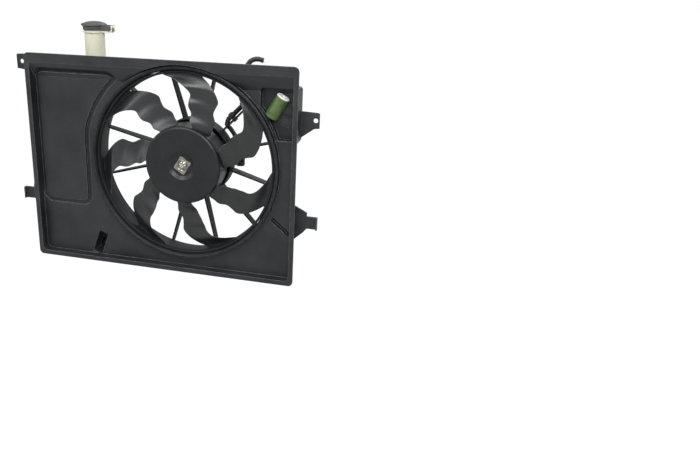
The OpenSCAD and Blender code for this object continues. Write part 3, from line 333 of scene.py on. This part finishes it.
# The same nylon on the flat hub, a little duller
HUB = finish("nylon_glass_filled_hub", "#0f1113", "#17191b", 0.36, ior=1.53, cloud=50,
             grain=1.2, height=0.02, edge=0.8, worn="#7a7b7a", scuff=0.12,
             speck=("#292a2a", 5.0, 0.4), Specular_IOR_Level=0.33)
# Blow-moulded natural polyethylene: waxy, milky, lets some light through
TANK = finish("polyethylene_blow_moulded_natural", "#c2c1ac", "#d1d0bd", 0.38, ior=1.52,
              cloud=70, grain=6.0, height=0.12, speck=("#b5b39b", 9.0, 0.35),
              Subsurface_Weight=0.35, Subsurface_Scale=0.006)
TANK.node_tree.nodes["Principled BSDF"].inputs["Subsurface Radius"].default_value = (1.0, 0.9, 0.6)
# Slate-grey nylon cap with a fine eroded texture
CAP = finish("nylon_moulded_slate", "#373838", "#464745", 0.5, ior=1.53, cloud=18, edge=0.7,
             worn="#8f908d")
RUBBER = finish("epdm_rubber_moulded", "#141414", "#1c1c1c", 0.72, ior=1.5, cloud=12)
CONDUIT = finish("polypropylene_corrugated_black", "#17181a", "#212224", 0.42, ior=1.49, cloud=15)
BOOT = finish("epdm_rubber_boot", "#1c1d1f", "#28292a", 0.6, ior=1.5, cloud=14, edge=0.5,
              worn="#565655")
CONNECTOR = finish("nylon_connector_moulded", "#222426", "#2e3032", 0.44, ior=1.53, cloud=16,
                   edge=0.5, worn="#77787a")
LOCK = finish("polybutylene_lock_moulded", "#35373a", "#424447", 0.42, ior=1.55, cloud=12,
              edge=0.4, worn="#808285")
WIRE = finish("silicone_insulation_white", "#dcdcd6", "#efefea", 0.5, ior=1.43, cloud=10)
# Green silicone coating of the wound resistor: matt, unevenly dipped
COATING = finish("silicone_coating_green", "#3a4a23", "#4a5c31", 0.5, ior=1.45, cloud=9,
                 grain=2.5, height=0.10, speck=("#728456", 3.0, 0.5))
CERAMIC = finish("steatite_ceramic_pressed", "#c8c7be", "#dddcd4", 0.62, ior=1.6, cloud=7)
ZINC = finish("steel_sheet_zinc_plated", "#8e9092", "#a9abac", 0.36, metallic=1.0, cloud=10,
              edge=0.4, speck=("#c2c4c4", 4.0, 0.6))
# Sheet steel with a thin black electro-coat
COATED = finish("steel_sheet_black_coated", "#27292a", "#323435", 0.4, ior=1.5, cloud=9,
                edge=0.4, worn="#7a7b7b")
SPRING = finish("spring_steel_nickel_plated", "#8b8880", "#a8a59c", 0.28, metallic=1.0, cloud=6,
                edge=0.3, speck=("#5d5a54", 1.6, 0.7))
# Deep-drawn steel can, dipped in black paint that pools and shines
CAN = finish("steel_can_black_painted", "#141516", "#1d1f20", 0.34, ior=1.5, cloud=24,
             edge=0.6, worn="#4d4e4e", speck=("#2a2b2b", 5.0, 0.5))
FERRITE = finish("ferrite_sintered", "#2a2725", "#35312e", 0.6, ior=1.6, cloud=14)
LAMINATION = finish("electrical_steel_stacked", "#6e7173", "#85888a", 0.4, metallic=1.0, cloud=12)
COPPER = finish("copper_wire_enamelled", "#8f4a1c", "#ad6a34", 0.3, metallic=1.0, cloud=7)
SEGMENTS = finish("copper_commutator_turned", "#a9683c", "#c08352", 0.25, metallic=1.0, cloud=6)
SHAFT = finish("steel_shaft_ground", "#a8aaac", "#c0c2c4", 0.2, metallic=1.0, cloud=9)
BRONZE = finish("bronze_sintered_oiled", "#8d7442", "#a88d58", 0.42, metallic=1.0, cloud=5)
PHENOLIC = finish("phenolic_board_pressed", "#2e241b", "#3a2e22", 0.55, ior=1.6, cloud=16)
CARBON = finish("carbon_graphite_pressed", "#1d1d1f", "#29292b", 0.5, ior=1.9, cloud=5)
PAPER = finish("label_film_white_matt", "#dadad4", "#e8e8e3", 0.55, ior=1.46, cloud=14)

NODE_FINISH = {
    "shroud_panel": SHROUD, "tank_tray": SHROUD, "resistor_pocket": SHROUD,
    "hose_tower": SHROUD, "side_brackets": SHROUD, "venturi_ring": RING_PAINTED_SHADE,
    "motor_carrier": CARRIER_DUST_PAINTED_LIGHT_AND_SHADE, "fan_hub": HUB, "fan_blades": FAN, "fan_band": RING_PAINTED_SHADE,
    "fan_insert": ZINC, "fan_clip": SPRING, "motor_can": CAN, "field_magnets": FERRITE,
    "armature_core": LAMINATION, "armature_windings": COPPER, "commutator": SEGMENTS,
    "motor_shaft": SHAFT, "front_bearing": BRONZE, "rear_bearing": BRONZE,
    "brush_plate": PHENOLIC, "carbon_brushes": CARBON, "brush_springs": SPRING,
    "motor_screws": ZINC, "coolant_tank": TANK, "tank_cap": CAP, "cap_seal": RUBBER,
    "resistor_body": COATING, "resistor_ends": CERAMIC, "resistor_bracket": COATED,
    "resistor_rivets": COATED, "connector_block": CONNECTOR, "harness_plug": CONNECTOR,
    "plug_lock": LOCK, "plug_wires": WIRE, "conduit": CONDUIT, "motor_lead_boot": BOOT,
    "cable_clips": CONNECTOR, "ring_clip": CONNECTOR,
}
for node_name, made in NODE_FINISH.items():
    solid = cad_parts[node_name]
    solid.data.materials.clear()
    solid.data.materials.append(made)


def fit(obj, made, body, *nodes):
    """Gives a finished piece its finish and its body, and hides the CAD nodes that it stands for.
    """
    obj.data.materials.clear()
    obj.data.materials.append(made)
    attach(obj, body)
    if nodes:
        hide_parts(*nodes)
    return obj


# ---------------------------------------------------------------- camera, floor and light

# Solved from the photographed panel's corners and ring: focal length in pixels of a picture
# 700 wide, place in millimetres, and the picture's right and up
FOCAL_PIXELS, PICTURE_W, SENSOR_MM = 688.4, 700, 36
CAMERA_AT = (520.0, -1151.9, 564.9)
right, up = np.array([0.96451, 0.26335, 0.01912]), np.array([-0.09764, 0.28846, 0.95250])
camera_data = bpy.data.cameras.new("camera")
camera_data.sensor_width = SENSOR_MM
camera_data.lens = FOCAL_PIXELS / PICTURE_W * SENSOR_MM
# The photographed view's own middle lies left of and above the picture's middle
camera_data.shift_x, camera_data.shift_y = 0.12, -0.06
camera_data.clip_end = 60
camera = bpy.data.objects.new("camera", camera_data)
bpy.context.scene.collection.objects.link(camera)
turn = np.eye(4)
turn[:3, 0], turn[:3, 1], turn[:3, 2] = right, up, np.cross(right, up)
turn[:3, 3] = metres(CAMERA_AT)
camera.matrix_world = Matrix(turn.tolist())
bpy.context.scene.camera = camera
bpy.context.scene.view_settings.view_transform = "Standard"

# A pale floor that stays white to the camera and keeps a part of the object's shadow; gloss
# sees it dimmer, as in a studio that is dark round its lamps. The shares are how much of its
# colour comes from its own glow.
CAMERA_SHARE, GLOSS_SHARE = 0.86, 0.24
mat, tree, shader, place = blank("studio_floor_paper_white")
shader.inputs["Base Color"].default_value = linear("#bcbcba")
shader.inputs["Roughness"].default_value = 0.9
shader.inputs["Specular IOR Level"].default_value = 0.1
white = add(tree, "ShaderNodeEmission", {"Color": (1, 1, 1, 1), "Strength": 1.12})
path_kind = add(tree, "ShaderNodeLightPath")
by_gloss = add(tree, "ShaderNodeMath", {0: path_kind.outputs["Is Glossy Ray"],
               1: GLOSS_SHARE}, operation="MULTIPLY").outputs[0]
seen = add(tree, "ShaderNodeMath", {0: path_kind.outputs["Is Camera Ray"],
           1: CAMERA_SHARE}, operation="MULTIPLY").outputs[0]
share = add(tree, "ShaderNodeMath", {0: seen, 1: by_gloss}, operation="MAXIMUM").outputs[0]
both = add(tree, "ShaderNodeMixShader", {0: share, 1: shader.outputs[0], 2: white.outputs[0]})
tree.links.new(both.outputs[0], tree.nodes["Material Output"].inputs["Surface"])
bpy.ops.mesh.primitive_plane_add(size=40, location=(0, 0, 0))
floor = bpy.context.object
floor.name = "floor"
floor.data.materials.append(mat)

world = bpy.data.worlds.new("studio")
bpy.context.scene.world = world
world.use_nodes = True
tree = world.node_tree
tree.nodes.clear()
path_kind = add(tree, "ShaderNodeLightPath")
seen = add(tree, "ShaderNodeMath", {0: path_kind.outputs["Is Camera Ray"],
           1: path_kind.outputs["Is Transmission Ray"]}, operation="MAXIMUM").outputs[0]
# Gloss sees a bright ceiling over darker walls; plain light comes evenly from all sides
WALLS, CEILING, EVEN = 0.36, 1.0, 0.62
up_z = add(tree, "ShaderNodeSeparateXYZ",
           {0: add(tree, "ShaderNodeTexCoord").outputs["Generated"]}).outputs["Z"]
studio = between(tree, up_z, 0.0, 0.8, WALLS, CEILING)
plain = add(tree, "ShaderNodeMix", {0: path_kind.outputs["Is Glossy Ray"], 2: EVEN, 3: studio},
            data_type="FLOAT").outputs[0]
level = add(tree, "ShaderNodeMix", {0: seen, 2: plain, 3: 1.0}, data_type="FLOAT").outputs[0]
sky = add(tree, "ShaderNodeBackground", {"Color": (1, 1, 1, 1), "Strength": level})
out = add(tree, "ShaderNodeOutputWorld", {"Surface": sky.outputs[0]})


LAMPS_AIM = (0, 0, 0.22)


def lamp(name, place_at, size, power):
    """Square soft lamp, place and size in metres and power in watts, aimed at the object."""
    data = bpy.data.lights.new(name, "AREA")
    data.shape, data.size, data.energy = "SQUARE", size, power
    obj = bpy.data.objects.new(name, data)
    bpy.context.scene.collection.objects.link(obj)
    back = np.subtract(place_at, LAMPS_AIM)
    back = back / np.linalg.norm(back)
    side = np.cross((0, 0, 1), back)
    side /= np.linalg.norm(side)
    m = np.eye(4)
    m[:3, 0], m[:3, 1], m[:3, 2], m[:3, 3] = side, np.cross(back, side), back, place_at
    obj.matrix_world = Matrix(m.tolist())


# The first two stand where the blades at the upper left mirror them to the camera
lamp("key_lamp", (-0.75, -1.38, 1.95), 1.2, 26)
lamp("rim_lamp", (0.92, -1.6, 1.42), 1.0, 33)
lamp("fill_lamp", (-1.9, -1.2, 0.9), 0.9, 6)
lamp("back_lamp", (0.5, 2.0, 2.1), 1.4, 26)


# ---------------------------------------------------------------- the wiring

# The conduit lies in a lane outside the carrier's skirt and then beside the spoke at SPOKE_AT
# degrees, where two clips hold it at the radii in CLIPS
CONDUIT_R, SPOKE_AT = 5.0, 45.0
RIPPLE_H, RIPPLE_PITCH, PLAIN_END = 0.45, 3.2, 10
LANE_R, LANE_Y, LANE_OFF = CARRIER_R + 12.0, CARRIER_REAR - 5.3, 8.8
CLIPS = (112.0, 146.0)


def beside(r, y):
    """Point beside the spoke that carries the clips."""
    a = np.radians(SPOKE_AT)
    return [FAN_X + r * np.sin(a) - LANE_OFF * np.cos(a), y,
            FAN_Z + r * np.cos(a) + LANE_OFF * np.sin(a)]


CONDUIT_ROUTE = [
    [FAN_X + LANE_R, LANE_Y - 4, 214.0], [FAN_X + LANE_R, LANE_Y - 4, 222.0],
    *on_fan(LANE_R, (80, 72, 64, 56, 49, 43), LANE_Y),
    beside(CLIPS[0] - 10, LANE_Y - 2), beside(CLIPS[0] - 4, LANE_Y - 3),
    beside(CLIPS[0] + 4, LANE_Y - 3), beside(sum(CLIPS) / 2, LANE_Y - 5),
    beside(CLIPS[1] - 4, LANE_Y - 7), beside(CLIPS[1] + 4, LANE_Y - 7),
    [151.5, 81, 340], [151.5, 81, 354], [149, 81, 368], [148, 81, 382], [150, 81, 394],
    [155, 80.5, 403], [163, 80, 408.5], [172, 79.5, 410], [182, 79, 408]]
route, run = smooth_path(CONDUIT_ROUTE, 0.55)
# Corrugations by a cosine along the run; the mouth at the boot is plain
ripple = RIPPLE_H * (1 - np.cos(2 * np.pi * run / RIPPLE_PITCH)) * (run > PLAIN_END)
conduit = surface("conduit_corrugated", [(tube(route, CONDUIT_R - ripple, 20), False, True)],
                  smooth=180)
fit(conduit, CONDUIT, "shroud", "conduit")

# Two insulated leads, laid round each other, from the conduit's mouth into the plug
LEAD_R, LEAD_OFF, LEAD_PITCH = 0.95, 0.98, 34
PLUG_AT, PLUG_TILT, PLUG_OFF, PLUG_Y = (239.0, 307.0), 22.6, 8.0, 45.0
BLOCK_LONG, SHELL_LONG, PLUG_GAP, PLUG_LONG = 26, 8, 0.3, 26
PLUG_END = -BLOCK_LONG / 2 - SHELL_LONG - PLUG_GAP - PLUG_LONG


def on_plug(x, y=0.0, z=0.0):
    """Point on the plug's axis, x along it from the middle of the fixed connector."""
    c, s = np.cos(np.radians(PLUG_TILT)), np.sin(np.radians(PLUG_TILT))
    return [PLUG_AT[0] + x * c + PLUG_OFF * s, PLUG_Y + y, PLUG_AT[1] - x * s + PLUG_OFF * c + z]


WIRE_ROUTE = [
    [182.5, 79, 407.8], [188, 77.5, 403], [191, 73, 394], [192, 67, 383], [192, 60, 371],
    [191, 54, 360], [189.5, 49.5, 351], on_plug(PLUG_END - 12, 1.5, 5),
    on_plug(PLUG_END - 5, 0, 0.6), on_plug(PLUG_END - 1), on_plug(PLUG_END + 6)]
middle, run = smooth_path(WIRE_ROUTE, 1.0)
across_u, across_v = path_frames(middle)
for k, lead_name in enumerate(("motor_lead_plus", "motor_lead_minus")):
    twist = np.radians(run * 360 / LEAD_PITCH + 180 * k)[:, None]
    lead = middle + LEAD_OFF * (np.cos(twist) * across_u + np.sin(twist) * across_v)
    wire = surface(lead_name, [(tube(lead, LEAD_R, 12), False, True)], smooth=180)
    fit(wire, WIRE, "shroud", "plug_wires")


# ---------------------------------------------------------------- the fan

# Angles of the blade's two edges, at nine even radii from hub to band
LEAD_ANGLES = np.array([14, 9.5, 9, 6.4, 6, 6.1, 2, -5, -13])
TRAIL_ANGLES = np.array([41, 38, 36, 30, 29, 28.6, 24, 17.5, 11])
ROOT_R, TIP_R = HUB_R + 0.06, BAND_R - BAND_T - 0.06
# Wave of the skin: height in millimetres, then peak and length as shares of the span. The
# blade is thicker by ROOT_MORE at the hub, which dies out over ROOT_REACH of the span.
WAVE_H, WAVE_PEAK, WAVE_LONG, ROOT_MORE, ROOT_REACH = 2.6, 0.24, 0.36, 0.9, 0.035


def along_list(values, s):
    """Catmull-Rom curve through values that lie evenly from s = 0 to s = 1."""
    n = len(values) - 1
    i = np.minimum((s * n).astype(int), n - 1)
    u = s * n - i
    p0, p1 = values[np.maximum(i - 1, 0)], values[i]
    p2, p3 = values[i + 1], values[np.minimum(i + 2, n)]
    return p1 + 0.5 * u * (p2 - p0 + u * (2 * p0 - 5 * p1 + 4 * p2 - p3
                                          + u * (3 * (p1 - p2) + p3 - p0)))


def blade(turned_by, rows=72, around=52):
    """Blade section carried from hub to band. s runs along the span and q round the section:
    the chord position is (1 - cos q) / 2, and the sides stand half a thickness off a camber
    line that rises by a sine. Edge angles follow the two lists, so both edges wave, and the
    skin waves with them, most at the leading edge."""
    s = np.linspace(0, 1, rows)[:, None]
    q = (np.arange(around) + 0.5)[None, :] * 2 * np.pi / around
    c = (1 - np.cos(q)) / 2
    r = ROOT_R + s * (TIP_R - ROOT_R)
    angle = along_list(LEAD_ANGLES, s) * (1 - c) + along_list(TRAIL_ANGLES, s) * c + turned_by
    half = BLADE_T / 2 * (0.35 * np.sqrt(np.abs(np.sin(q))) + 2.6 * c * (1 - c))
    half = half * (1 + ROOT_MORE * np.exp(-s / ROOT_REACH) * np.sin(np.pi * c))
    rise = BLADE_RISE * (1 - 0.25 * s)
    wave = WAVE_H * np.cos(2 * np.pi * (s - WAVE_PEAK) / WAVE_LONG) * np.clip(s / 0.12, 0, 1)
    y = (BLADE_FRONT + 1.5 * s + rise * (c + 0.18 * np.sin(np.pi * c))
         + (1.2 * np.sin(2 * np.pi * s) + wave) * (1 - 0.75 * c) + np.sign(np.sin(q)) * half)
    return on_fan(r, angle, y), False, True


blades = surface("blades_swept", [blade(k * 360 / BLADE_COUNT) for k in range(BLADE_COUNT)],
                 smooth=70)
fit(blades, FAN, "fan", "fan_blades")

# Corners and sizes of the hub's dish, the steel sleeve's seat and the square clip
RECESS_R, RECESS_Y, SLEEVE_R, SLEEVE_Y, SLEEVE_END = 24.0, 10.0, 9.0, 12.0, 28.0
hub_profile = rounded([
    (5.0, RECESS_Y, 0), (RECESS_R - 3.5, RECESS_Y, 2), (RECESS_R + 4, HUB_Y + 0.1, 3.5),
    (HUB_R - 16, HUB_Y + 0.6, 60), (HUB_R, HUB_Y + 1.2, 8), (HUB_R, HUB_Y + HUB_DEPTH, 0.9),
    (HUB_R - HUB_WALL, HUB_Y + HUB_DEPTH, 0.9), (HUB_R - HUB_WALL, HUB_Y + 4.4, 4),
    (RECESS_R + 12, HUB_Y + HUB_WALL, 3), (RECESS_R + 1, RECESS_Y + HUB_WALL, 2),
    (13.5, RECESS_Y + HUB_WALL, 2), (12.6, SLEEVE_END, 1), (SLEEVE_R, SLEEVE_END, 0.4),
    (SLEEVE_R, SLEEVE_Y, 0), (5.0, SLEEVE_Y, 0)], 7)


def slab(outline, y0, y1, edge=0.4):
    """Flat plate: a closed (x, z) outline carried from y0 to y1, drawn in towards its middle
    by edge at both faces so that its rims are chamfered."""
    p = np.asarray(outline, float)
    mid = p.mean(axis=0)
    away = (p - mid) / np.maximum(np.linalg.norm(p - mid, axis=1), 1e-6)[:, None]
    rows = [(y0, edge), (y0 + edge, 0), (y1 - edge, 0), (y1, edge)]
    return np.stack([np.column_stack([p[:, 0] - away[:, 0] * i, np.full(len(p), y),
                                      p[:, 1] - away[:, 1] * i]) for y, i in rows]), False, True


RIB_HALF, RIB_FRONT, RIB_BACK = 1.1, HUB_Y + 2.5, HUB_Y + 14


def stiffener(angle):
    """Upright rib inside the hub: a thin rectangle across the radius, carried along it."""
    rows = np.linspace(RECESS_R + 12, HUB_R - HUB_WALL + 0.5, 2)[:, None]
    across = np.array([-RIB_HALF, RIB_HALF, RIB_HALF, -RIB_HALF])[None, :]
    depth = np.array([RIB_FRONT, RIB_FRONT, RIB_BACK, RIB_BACK])[None, :]
    return on_fan(np.hypot(rows, across), angle + np.degrees(np.arctan2(across, rows)),
                  depth), False, True


turns = np.arange(192)[:, None] * 360 / 192
hub = surface("hub_dished", [
    (on_fan(hub_profile[None, :, 0], turns, hub_profile[None, :, 1]), True, True),
    *[stiffener(k * 45) for k in range(8)]])
fit(hub, HUB, "fan", "fan_hub")

# The band's front and rear edges turn outwards, to 0.7 mm from the ring's bore
LIP_R = BAND_R + 2.3
band = spun("band_ring", rounded([
    (BAND_R - BAND_T, BAND_Y + 4.6, 2.6), (BAND_R - 0.4, BAND_Y, 1.0),
    (LIP_R, BAND_Y, 0.8), (LIP_R, BAND_Y + 2.2, 0.6),
    (BAND_R, BAND_Y + 3.0, 0.8), (BAND_R, BAND_Y + BAND_W - 2.4, 0.8),
    (LIP_R, BAND_Y + BAND_W - 1.8, 0.5), (LIP_R, BAND_Y + BAND_W, 0.6),
    (BAND_R - BAND_T, BAND_Y + BAND_W, 0.7)], 4), 256)
fit(band, RING_PAINTED_SHADE, "fan", "fan_band")

# Spring clip: rows from the shaft outwards and back behind. The first rows are round, the
# later ones go over into a superellipse, an oblong with round corners, turned by CLIP_TURN
# degrees; the teeth rise six times a turn.
CLIP_POWER = 12
CLIP_ALONG, CLIP_ACROSS, CLIP_TURN, CLIP_SEAT = 14.3, 12.3, 32.0, RECESS_Y - 0.1
clip_rows = np.array([
    # radius, share of the way out to the oblong, height off the seat, share of the teeth
    (4.06, 0.00, 1.2, 0.8), (4.20, 0.00, 2.9, 1.0), (5.60, 0.00, 2.4, 1.0), (7.00, 0.00, 1.0, 0.3),
    (7.90, 0.00, 0.5, 0.0), (8.50, 0.00, 1.0, 0.0), (9.10, 0.00, 2.2, 0.0), (9.90, 0.00, 2.7, 0.0),
    (10.6, 0.00, 2.2, 0.0), (11.2, 0.00, 0.9, 0.0), (11.6, 0.05, 0.8, 0.0), (11.6, 0.55, 1.0, 0.0),
    (11.6, 0.90, 1.5, 0.0), (11.6, 0.98, 1.4, 0.0), (11.6, 1.00, 1.0, 0.0), (11.6, 0.98, 0.1, 0.0),
    (11.4, 0.50, 0.05, 0.0), (9.00, 0.00, 0.05, 0.0), (4.30, 0.00, 0.05, 0.0)])[None]
a = np.radians(turns - CLIP_TURN)
oblong = ((np.abs(np.cos(a)) / CLIP_ALONG) ** CLIP_POWER
          + (np.abs(np.sin(a)) / CLIP_ACROSS) ** CLIP_POWER) ** (-1 / CLIP_POWER)
radius = clip_rows[..., 0] + clip_rows[..., 1] * (oblong - clip_rows[..., 0])
tooth = 0.5 - 0.5 * np.sign(np.cos(6 * a)) * np.abs(np.cos(6 * a)) ** 0.4
height = clip_rows[..., 2] * (1 - 0.55 * clip_rows[..., 3] * tooth)
clip = surface("hub_clip_square", [(on_fan(radius, turns, CLIP_SEAT - height), True, True)],
               smooth=50)
fit(clip, SPRING, "fan", "fan_clip")


# ---------------------------------------------------------------- the resistor

RES_X, RES_Y, RES_Z, RES_R, RES_HALF = 226.4, 16.5, 335.7, 12.5, 22.5
RES_AXIS = (0.5, 0.0, 0.866)
# Each turn of the wire shows as a low wave under the dipped coat
WIRE_WAVE, WIRE_PITCH = 0.16, 2.4
along = np.linspace(-RES_HALF + 3.5, RES_HALF - 3.6, 90)
wound = np.column_stack([RES_R - WIRE_WAVE
                         + WIRE_WAVE * np.cos(2 * np.pi * along / WIRE_PITCH), along])
low, high = -RES_HALF, RES_HALF - 3.0
coat = np.vstack([[(0, low), (6, low), (9.6, low + 0.25), (11.4, low + 1.1), (12.2, low + 2.4)],
                  wound, [(12.25, high - 0.2), (11.8, high), (0, high)]])
resistor = surface("resistor_coated", [
    (turned(coat, (RES_X, RES_Y, RES_Z), RES_AXIS, 96), True, False)], smooth=60)
fit(resistor, COATING, "shroud", "resistor_body")
core = np.array([(0, high + 0.02), (11.3, high + 0.02), (11.9, high + 0.5), (11.9, high + 2.3),
                 (11.3, high + 3), (4.2, high + 3), (3.6, high + 2.4), (3.4, high + 0.6),
                 (0, high + 0.6)])
core_end = surface("resistor_core_end", [
    (turned(core, (RES_X, RES_Y, RES_Z), RES_AXIS, 96), True, False)], smooth=40)
fit(core_end, CERAMIC, "shroud", "resistor_ends")


# ---------------------------------------------------------------- the coolant tank

def tank_outline(i, arc_r=TANK_ARC, n=14):
    """Outline of the tank drawn in by i: five arcs, of which the one round the fan is hollow."""
    return np.vstack([
        arc(TANK_LEFT + 18, TANK_TOP - 18, 18 - i, 90, 180, n),
        arc(TANK_LEFT + 34, TANK_BOTTOM + 34, 34 - i, 180, 262, n),
        arc(TANK_LEFT + 52, TANK_BOTTOM + 26, 26 - i, 270, 355, n),
        arc(FAN_X, FAN_Z, arc_r + i, 179, 138, 3 * n),
        arc(TANK_LEFT + 148, TANK_TOP - 22, 22 - i, -42, 90, 2 * n)])


def tank_body(i, y0, y1, edge, arc_r=TANK_ARC):
    """The outline carried from y0 to y1; towards both ends it is drawn in along a quarter
    circle, so that the long edges are round."""
    a = np.radians(np.linspace(0, 90, 7))
    y = np.concatenate([y0 + edge * (1 - np.cos(a)), y1 - edge * (1 - np.sin(a))])
    inset = i + edge * np.concatenate([1 - np.sin(a), 1 - np.cos(a)])
    rows = [np.insert(tank_outline(k, arc_r), 1, row, axis=1) for k, row in zip(inset, y)]
    return np.stack(rows), False, True


def round_run(points, radii, sides=40):
    """Round closed run along a few points, with a radius at each of them."""
    path, run = smooth_path(points, 3.0)
    knots = np.linspace(0, run[-1], len(radii))
    return tube(path, np.interp(run, knots, radii), sides), False, True


neck_axis = (NECK_X, NECK_Y, 0.0)
tank = surface("tank_blown", [
    tank_body(0.0, TANK_FRONT, TANK_REAR, TANK_EDGE),
    # Ledge that reaches further towards the fan, over the front half of the depth
    tank_body(0.0, TANK_FRONT, TANK_FRONT + 20, 5.0, TANK_ARC - 12),
    # Ridge that carries the neck down the back, and the low swell at the right end
    round_run([(NECK_X, NECK_Y, 392), (NECK_X, NECK_Y - 1, 372), (NECK_X - 2, NECK_Y - 6, 330),
               (NECK_X - 6, NECK_Y - 16, 285)], [18.6, 18.2, 16.5, 13]),
    round_run([(-112, 53, 345), (-108, 55, 362), (-106, 54, 382)], [15, 18, 13]),
    (turned(np.array([(0, 384.0), (NECK_R, 384.0), (NECK_R, NECK_TOP), (0, NECK_TOP)]),
            neck_axis, (0, 0, 1), 72), True, False)], smooth=180)
# The blown skin: all of it run together in cells of CELL metres and relaxed, then hollowed
CELL = 0.0014
skin = tank.modifiers.new("skin", "REMESH")
skin.mode, skin.voxel_size = "VOXEL", CELL
relaxed = tank.modifiers.new("relaxed", "SMOOTH")
relaxed.factor, relaxed.iterations = 0.5, 7
apply_modifiers(tank)
boolean(tank, surface("hollow", [tank_body(TANK_WALL, TANK_FRONT + TANK_WALL,
        TANK_REAR - TANK_WALL, TANK_EDGE - 2)]), "DIFFERENCE")
bore = np.array([(0, 366.0), (NECK_R - 2.2, 366.0), (NECK_R - 2.2, 480.0), (0, 480.0)])
boolean(tank, surface("bore", [(turned(bore, neck_axis, (0, 0, 1), 72), True, False)]),
        "DIFFERENCE")

# Mould seam at the middle of the depth, collar, ears with the pin, nipple and spigots
seam = np.array([(-0.4, -0.9), (0.9, -0.5), (0.9, 0.5), (-0.4, 0.9)])
seam = np.stack([np.insert(tank_outline(-out), 1, 46.6 + off, axis=1) for out, off in seam])
collar = rounded([(NECK_R - 1, HINGE_Z - 6, 0), (NECK_R + 2.6, HINGE_Z - 6, 0.8),
                  (NECK_R + 2.6, HINGE_Z - 3.4, 0.8), (NECK_R - 1, HINGE_Z - 3.4, 0)], 3)
ear = rounded([(NECK_X + NECK_R - 1, HINGE_Z - 6, 0), (HINGE_X + 5.4, HINGE_Z - 6, 5),
               (HINGE_X + 5.4, HINGE_Z + 7.0, 5), (HINGE_X - 5.0, HINGE_Z + 7.0, 5),
               (HINGE_X - 5.0, HINGE_Z - 2.5, 1), (NECK_X + NECK_R - 1, HINGE_Z - 2.5, 0)], 6)
pin = rounded([(0, 0, 0), (1.8, 0, 0.3), (1.8, 14.4, 0.3), (0, 14.4, 0)], 2)
nipple = rounded([(0, 6, 0), (5.4, 6, 0), (5.4, 13.2, 1), (3.5, 13.6, 0.3), (3.5, 25.4, 0),
                  (4.3, 25.7, 0.2), (3.5, 30.2, 0.3), (3.3, 31.5, 0.3), (2, 31.5, 0), (2, 24, 0),
                  (0, 24, 0)], 3)
spigot = rounded([(0, 0, 0), (3.2, 0, 0), (4, 1.2, 0.6), (4, 6.5, 0), (0, 6.5, 0)], 3)
details = surface("tank_details", [
    (seam, True, True),
    (turned(collar, neck_axis, (0, 0, 1), 96), True, True),
    *[slab(ear, NECK_Y + y, NECK_Y + y + 2, 0.35) for y in (-7, 5)],
    (turned(pin, (HINGE_X, NECK_Y - 7.2, HINGE_Z), (0, 1, 0), 24), True, False),
    (turned(nipple, (TANK_LEFT + 160, TANK_REAR - 10, TANK_TOP - 22), (1, 1, 0), 40),
     True, False),
    *[(turned(spigot, (x, TANK_FRONT - 4.5, z), (0, 1, 0), 32), True, False)
      for x, z in ((TANK_LEFT + 36, TANK_TOP - 50), (TANK_LEFT + 40, TANK_BOTTOM + 50))]])
fit(tank, TANK, "shroud", "coolant_tank")
fit(details, TANK, "shroud")

label = rounded([(-234, 355, 2.5), (-237.5, 327, 2.5), (-173, 312, 2.5), (-172, 341, 2.5)], 4)
fit(surface("tank_label_bare", [slab(label, TANK_REAR - 0.4, TANK_REAR + 0.25, 0.1)]),
    PAPER, "shroud")


# ---------------------------------------------------------------- the cap

# Domed cap with a thin brim, which stands out further at the thumb lip on the left
LIP_OUT, LIP_UP = 3.2, 0.6
dome = rounded([(0, HINGE_Z + 9.4, 0), (NECK_R + 0.6, HINGE_Z + 9.4, 0),
                (NECK_R + 0.6, HINGE_Z - 1.5, 0.2), (NECK_R + 2.2, HINGE_Z - 1.5, 0.4),
                (NECK_R + 2.8, HINGE_Z + 5.4, 1.5), (NECK_R + 4.6, HINGE_Z + 6.8, 0.5),
                (NECK_R + 4.8, HINGE_Z + 8.9, 0.8), (NECK_R + 1.5, HINGE_Z + 11.2, 4),
                (12, HINGE_Z + 13.8, 12), (0, HINGE_Z + 14.9, 0)], 5)
turned_dome = turned(dome, neck_axis, (0, 0, 1), 144)
out = turned_dome - np.array([NECK_X, NECK_Y, 0.0])
reach = np.hypot(out[..., 0], out[..., 1])
lip = np.clip(-out[..., 0] / np.maximum(reach, 1e-6), 0, 1) ** 14
lip = lip * np.clip((reach - NECK_R - 2.8) / 2.0, 0, 1)
turned_dome[..., 0] -= LIP_OUT * lip
turned_dome[..., 2] += LIP_UP * lip
eye = arc(HINGE_X, HINGE_Z, 4.0, 0, 360, 31)[:-1]
arm = rounded([(NECK_X + NECK_R + 1, HINGE_Z + 2, 0), (HINGE_X - 1, HINGE_Z + 0.2, 1),
               (HINGE_X + 1, HINGE_Z + 3.4, 1), (HINGE_X - 4, HINGE_Z + 5.6, 2),
               (NECK_X + NECK_R + 4, HINGE_Z + 7, 1), (NECK_X + NECK_R + 1, HINGE_Z + 7, 0)], 4)
# Cheeks that reach over the pin's ends outside the ears
cheek = rounded([(NECK_X + NECK_R, HINGE_Z - 0.6, 0), (HINGE_X + 3.4, HINGE_Z - 2.6, 3),
                 (HINGE_X + 3.4, HINGE_Z + 7.4, 2), (NECK_X + NECK_R, HINGE_Z + 8.0, 0)], 5)
cap = surface("cap_domed", [
    (turned_dome, True, False), slab(eye, NECK_Y - 4.7, NECK_Y + 4.7),
    slab(arm, NECK_Y - 4.7, NECK_Y + 4.7), slab(cheek, NECK_Y - 9.3, NECK_Y - 7.4),
    slab(cheek, NECK_Y + 7.4, NECK_Y + 9.3)])
fit(cap, CAP, "cap", "tank_cap")
